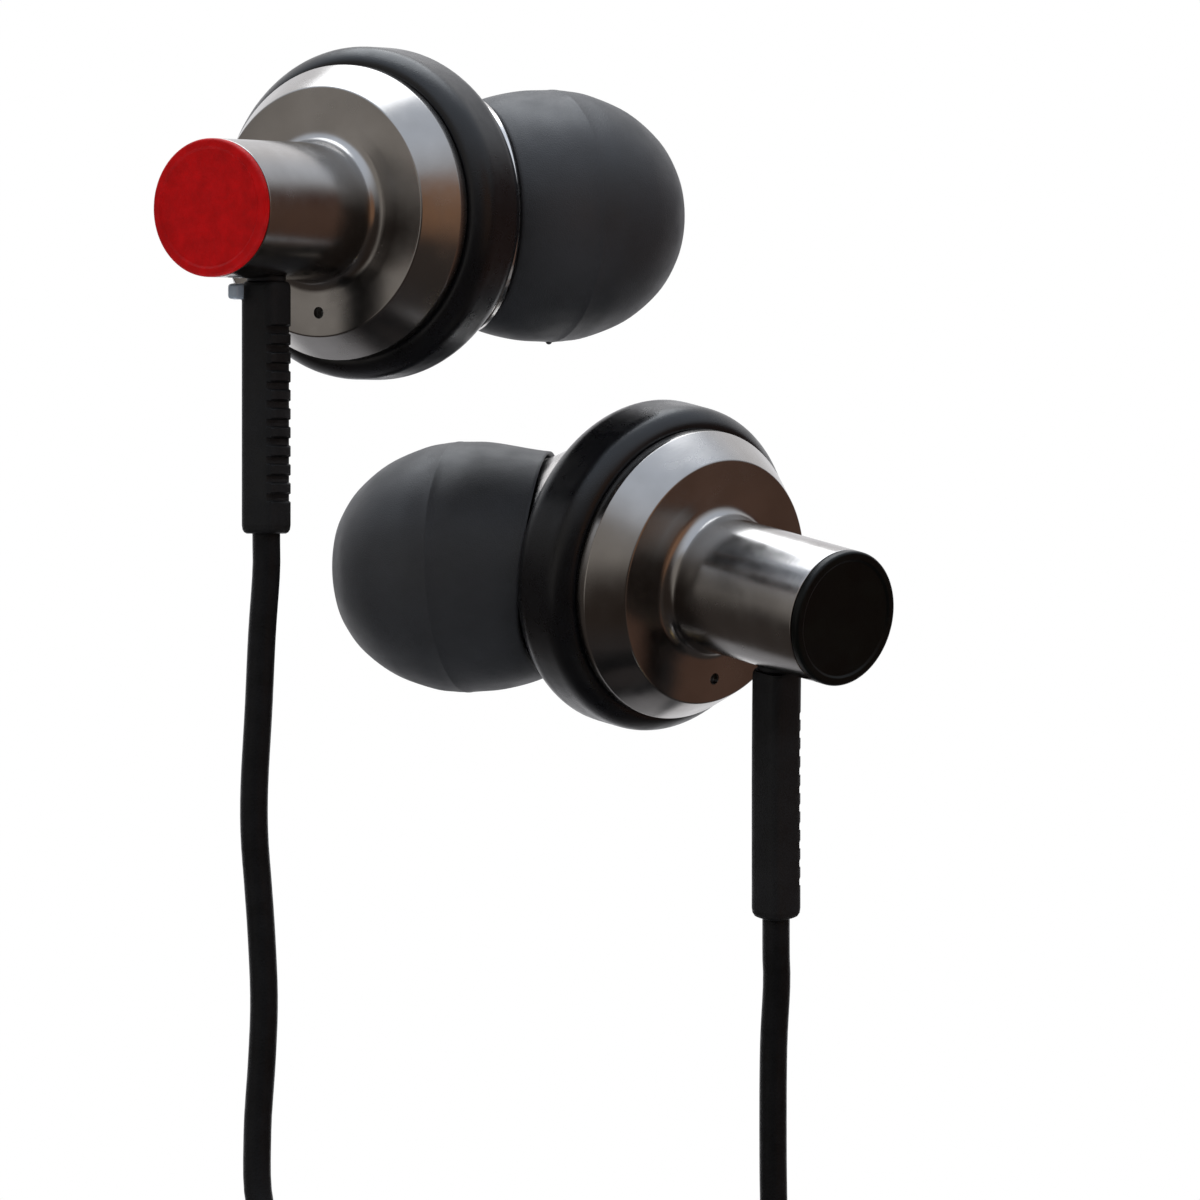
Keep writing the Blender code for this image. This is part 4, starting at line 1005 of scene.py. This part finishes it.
def cord_tie():
    """A soft strap in a closed loop around the coil's section."""
    wide, wall = 3.0, 0.42
    low, high = 0.62, 13.12  # the opening's heights above the floor
    near, far = 6.96, 13.72  # and its distances from the coil's middle
    bm = bmesh.new()
    face = rounded_face(bm, far - near + 2 * wall, high - low + 2 * wall, 0.9, 6)
    middle = Vector(((near + far) / 2, 0, (low + high) / 2))
    bmesh.ops.delete(bm, geom=[face], context="FACES_ONLY")
    made = bmesh.ops.extrude_edge_only(bm, edges=bm.edges)
    verts = [g for g in made["geom"] if isinstance(g, bmesh.types.BMVert)]
    bmesh.ops.translate(bm, vec=(0, wide, 0), verts=verts)
    bmesh.ops.translate(bm, vec=middle - Vector((0, wide / 2, 0)), verts=bm.verts)
    bmesh.ops.recalc_face_normals(bm, faces=bm.faces)
    bmesh.ops.solidify(bm, geom=bm.faces, thickness=wall)
    rims = [e for e in bm.edges if abs(e.verts[0].co.y - e.verts[1].co.y) < 1e-6 and len(e.link_faces) == 2
            and e.calc_face_angle(0) > 1.0]
    bmesh.ops.bevel(bm, geom=rims, offset=0.1, segments=3, affect="EDGES", profile=0.5, material=-1)
    turn = Matrix.Rotation(math.radians(COIL_TIE_ANGLE), 4, "Z")
    place = IN_MM @ Matrix.Translation(COIL_CENTRE + Vector((0, 0, FLOOR_Z))) @ turn
    return finished(bm, "coil_strap", LOOKS["relief"], ["cord_tie"], place, 40)


def slider():
    """Slides on the two branch cords to gather them. Its broad sides are grooved for the fingers."""
    bm = bmesh.new()
    bmesh.ops.create_cube(bm, size=1)
    bmesh.ops.scale(bm, vec=SLIDER_SIZE, verts=bm.verts)
    bmesh.ops.bevel(bm, geom=bm.edges, offset=0.6, segments=5, affect="EDGES", profile=0.5, material=-1)
    place = IN_MM @ Matrix.Translation(SLIDER_MIDDLE)
    piece = finished(
        bm, "gathering_slider", LOOKS["plastic"], ["cinch_slider"], place, body="slider"
    )
    cutters = [
        rod(BRANCH_RADIUS + 0.12, (x, -4, 0), (x, 4, 0), place)
        for x in (-PAIR_SPACING / 2, PAIR_SPACING / 2)
    ]
    for y in (-1.6, -0.8, 0.0, 0.8, 1.6):
        for z in (-SLIDER_SIZE.z / 2, SLIDER_SIZE.z / 2):
            cutters.append(rod(0.16, (-1.6, y, z), (1.6, y, z), place, 16))
    carve(piece, cutters)


def splitter():
    """Where the two branch cords become one: a moulding that narrows, ringed by three grooves."""
    shares = [(0.0, 0.84), (0.012, 0.92), (0.04, 0.98), (0.08, 1.0)]
    for groove in (0.6, 0.7, 0.8):
        for offset, full in ((-0.02, 1.0), (-0.01, 0.95), (0.01, 0.95), (0.02, 1.0)):
            shares.append((groove + offset, full))
    shares += [(0.93, 1.0), (0.97, 0.97), (0.99, 0.9), (1.0, 0.82)]
    stations = []
    for share, full in shares:
        centre = Vector((PAIR_X, SPLITTER_START_Y + share * SPLITTER_LENGTH, PAIR_Z))
        stations.append((centre, full * (1 - 0.22 * share), 0.0))
    bm = drawn_out(4.6, 3.1, 1.1, stations)
    finished(bm, "cord_splitter", LOOKS["plastic"], ["splitter"], sharp=40)


def plug_relief(place):
    """A boot of four widening rings, which lets the cord bend."""
    corners = [(0, 0.0, 0), (1.3, 0.0, 0.15), (1.5, 0.5, 0.1)]
    for ring in range(4):
        z, wide = 1.0 + 1.3 * ring, 1.6 + 0.16 * ring
        corners += [(wide, z, 0.1), (wide + 0.04, z + 0.8, 0.1)]
        corners += [(wide - 0.3, z + 0.86, 0.06), (wide - 0.3, z + 1.24, 0.06)]
    corners += [(2.38, 6.4, 0.2), (2.4, BOOT_LENGTH, 0.1), (0, BOOT_LENGTH, 0)]
    return turned_piece("plug_relief", corners, LOOKS["relief"], "black_rubber", "plug_boot", place)


def plug_barrel(start, place):
    """The metal grip, with three grooves near its front."""
    end = start + PLUG_BODY_LENGTH
    wide, grooved = PLUG_BODY_RADIUS, PLUG_BODY_RADIUS - 0.14
    corners = [(0, start, 0), (wide - 0.3, start, 0.15), (wide, start + 0.5, 0.2)]
    for groove in range(3):
        z = start + 9.6 + 0.9 * groove
        corners += [(wide, z, 0.04), (grooved, z + 0.1, 0.04)]
        corners += [(grooved, z + 0.32, 0.04), (wide, z + 0.42, 0.04)]
    corners += [(wide, end - 0.6, 0.15), (wide - 0.4, end, 0.06), (0, end, 0)]
    metal = make_gunmetal("plug gunmetal", place)
    return turned_piece("plug_barrel", corners, metal, "gunmetal", "plug_shell", place, 128)


def plug_pin(start, place):
    """The three contacts, with an insulator between each two."""
    gold, black = (LOOKS["gold"], "contact_gold"), (LOOKS["plastic"], "black_plastic")
    pieces = []
    for name, length, radius, finish, node_name in (
        ("sleeve_contact", 6.6, CONTACT_RADIUS, gold, "plug_sleeve"),
        ("rear_insulator", 0.6, INSULATOR_RADIUS, black, "plug_rear_insulator"),
        ("ring_contact", 2.4, CONTACT_RADIUS, gold, "plug_ring_contact"),
        ("front_insulator", 0.6, INSULATOR_RADIUS, black, "plug_front_insulator"),
    ):
        end = start + length
        corners = [(0, start, 0), (radius, start, 0.05), (radius, end, 0.05), (0, end, 0)]
        pieces.append(turned_piece(name, corners, *finish, node_name, place))
        start += length + PLUG_GAP
    corners = [
        (0, start, 0), (CONTACT_RADIUS, start, 0.1), (1.22, start + 0.3 * PLUG_TIP_LENGTH, 0.2),
        (1.62, start + 0.54 * PLUG_TIP_LENGTH, 0.3), (0.9, start + 0.95 * PLUG_TIP_LENGTH, 0.35),
        (0, start + PLUG_TIP_LENGTH, 0),
    ]
    pieces.append(turned_piece("tip_contact", corners, *gold, "plug_tip_contact", place))
    return pieces


def plug():
    """The straight plug, which lies on the floor with its pin towards +x."""
    place = IN_MM @ Matrix.Translation(PLUG_START) @ Matrix.Rotation(math.pi / 2, 4, "Y")
    barrel_start = BOOT_LENGTH + PLUG_GAP
    pin_start = barrel_start + PLUG_BODY_LENGTH + PLUG_GAP
    return [plug_relief(place), plug_barrel(barrel_start, place), *plug_pin(pin_start, place)]


# -------------------- studio

# Cards around the object: azimuth from the back towards the right, elevation, the angles where the
# card is full and where it has faded, in degrees, and its colour.
CARDS = [
    (0, 90, 30, 75, (0.9, 1.0, 1.16)),
    (0, 8, 38, 66, (1.0, 1.0, 1.03)),
    (69, -4, 14, 34, (0.1, 0.052, 0.04)),
    (92, -14, 16, 34, (0.13, 0.075, 0.055)),
    (133, 4, 8, 27, (0.36, 0.2, 0.12)),
    (228, 6, 20, 44, (0.4, 0.375, 0.35)),
    (190, -38, 20, 46, (0.04, 0.03, 0.025)),
    (0, -90, 20, 50, (0.05, 0.045, 0.045)),
    (340, -47, 10, 26, (0.4, 0.4, 0.42)),
]


def card_direction(azimuth, elevation):
    """The way to a card or a lamp, from angles in degrees."""
    a, e = math.radians(azimuth), math.radians(elevation)
    return Vector((math.sin(a) * math.cos(e), math.cos(a) * math.cos(e), math.sin(e)))


def make_world():
    """A white surround for the camera, and a room of soft cards for the reflections and the light."""
    world = bpy.data.worlds.new("studio")
    bpy.context.scene.world = world
    world.use_nodes = True
    tree = world.node_tree
    tree.nodes.clear()
    direction = node(tree, "TexCoord").outputs["Generated"]
    height = node(tree, "SeparateXYZ", {"Vector": direction}).outputs["Z"]
    rise = node(tree, "MapRange", {"Value": height, "From Min": 0.0, "From Max": 0.75})
    room = node(tree, "Mix", {"Factor": rise.outputs["Result"]}, data_type="RGBA")
    room.inputs["A"].default_value = (0.06, 0.05, 0.045, 1)
    room.inputs["B"].default_value = (0.8, 0.8, 0.82, 1)
    colour = room.outputs["Result"]
    for azimuth, elevation, full, faded, tint in CARDS:
        facing = node(tree, "VectorMath", {0: direction, 1: card_direction(azimuth, elevation)},
                      operation="DOT_PRODUCT")
        share = node(tree, "MapRange", {
            "Value": facing.outputs["Value"], "From Min": math.cos(math.radians(faded)),
            "From Max": math.cos(math.radians(full)),
        }, interpolation_type="SMOOTHSTEP")
        card = node(tree, "Mix", {"Factor": share.outputs["Result"], "A": colour}, data_type="RGBA")
        card.inputs["B"].default_value = (*tint, 1)
        colour = card.outputs["Result"]
    lit = node(tree, "Background", {"Color": colour, "Strength": 1.0})
    seen = node(tree, "Background", {"Color": (1, 1, 1, 1), "Strength": 1.0})
    path = node(tree, "LightPath")
    camera_ray = path.outputs["Is Camera Ray"]
    both = node(tree, "MixShader", {0: camera_ray, 1: lit.outputs[0], 2: seen.outputs[0]})
    output = node(tree, "OutputWorld", {"Surface": both.outputs[0]})
    output.is_active_output = True
    bpy.context.scene.view_settings.view_transform = "Standard"


def area_light(name, target, azimuth, elevation, distance, size, power):
    """A round, slightly cool lamp that faces the target."""
    data = bpy.data.lights.new(name, "AREA")
    data.shape = "DISK"
    data.size = size
    data.energy = power
    data.color = (0.92, 0.96, 1.0)
    lamp = bpy.data.objects.new(name, data)
    bpy.context.scene.collection.objects.link(lamp)
    way = card_direction(azimuth, elevation)
    lamp.location = target + way * distance
    lamp.rotation_euler = way.to_track_quat("Z", "Y").to_euler()


def make_floor():
    """White paper under the coil, which the housings don't reflect."""
    bm = bmesh.new()
    bmesh.ops.create_circle(bm, cap_ends=True, segments=128, radius=0.44)
    bmesh.ops.translate(bm, vec=(0, 0, FLOOR_Z * MM), verts=bm.verts)
    mesh = bpy.data.meshes.new("studio_floor")
    bm.to_mesh(mesh)
    bm.free()
    mesh.materials.append(finish_look(
        "floor paper", (0.78, 0.78, 0.78), (0.84, 0.84, 0.84), (0.7, 0.8), mottle=8, grain=300, depth=0.05
    ))
    floor = bpy.data.objects.new("studio_floor", mesh)
    bpy.context.scene.collection.objects.link(floor)
    floor.visible_glossy = False


# -------------------- all of it

make_camera()
LOOKS = make_looks()
for side_label, side_sign in SIDES.items():
    earphone(side_label, side_sign)
splitter()
slider()
plug_pieces = plug()
tie = cord_tie()
branch_cord("right", 1, RIGHT_UPPER, right_winding, RIGHT_LOWER)
branch_cord("left", -1, LEFT_UPPER, left_winding, LEFT_LOWER)
main_cord()
make_floor()
make_world()
area_light("overhead softbox", CAMERA_TARGET * MM, -10, 70, 0.5, 0.5, 2.0)
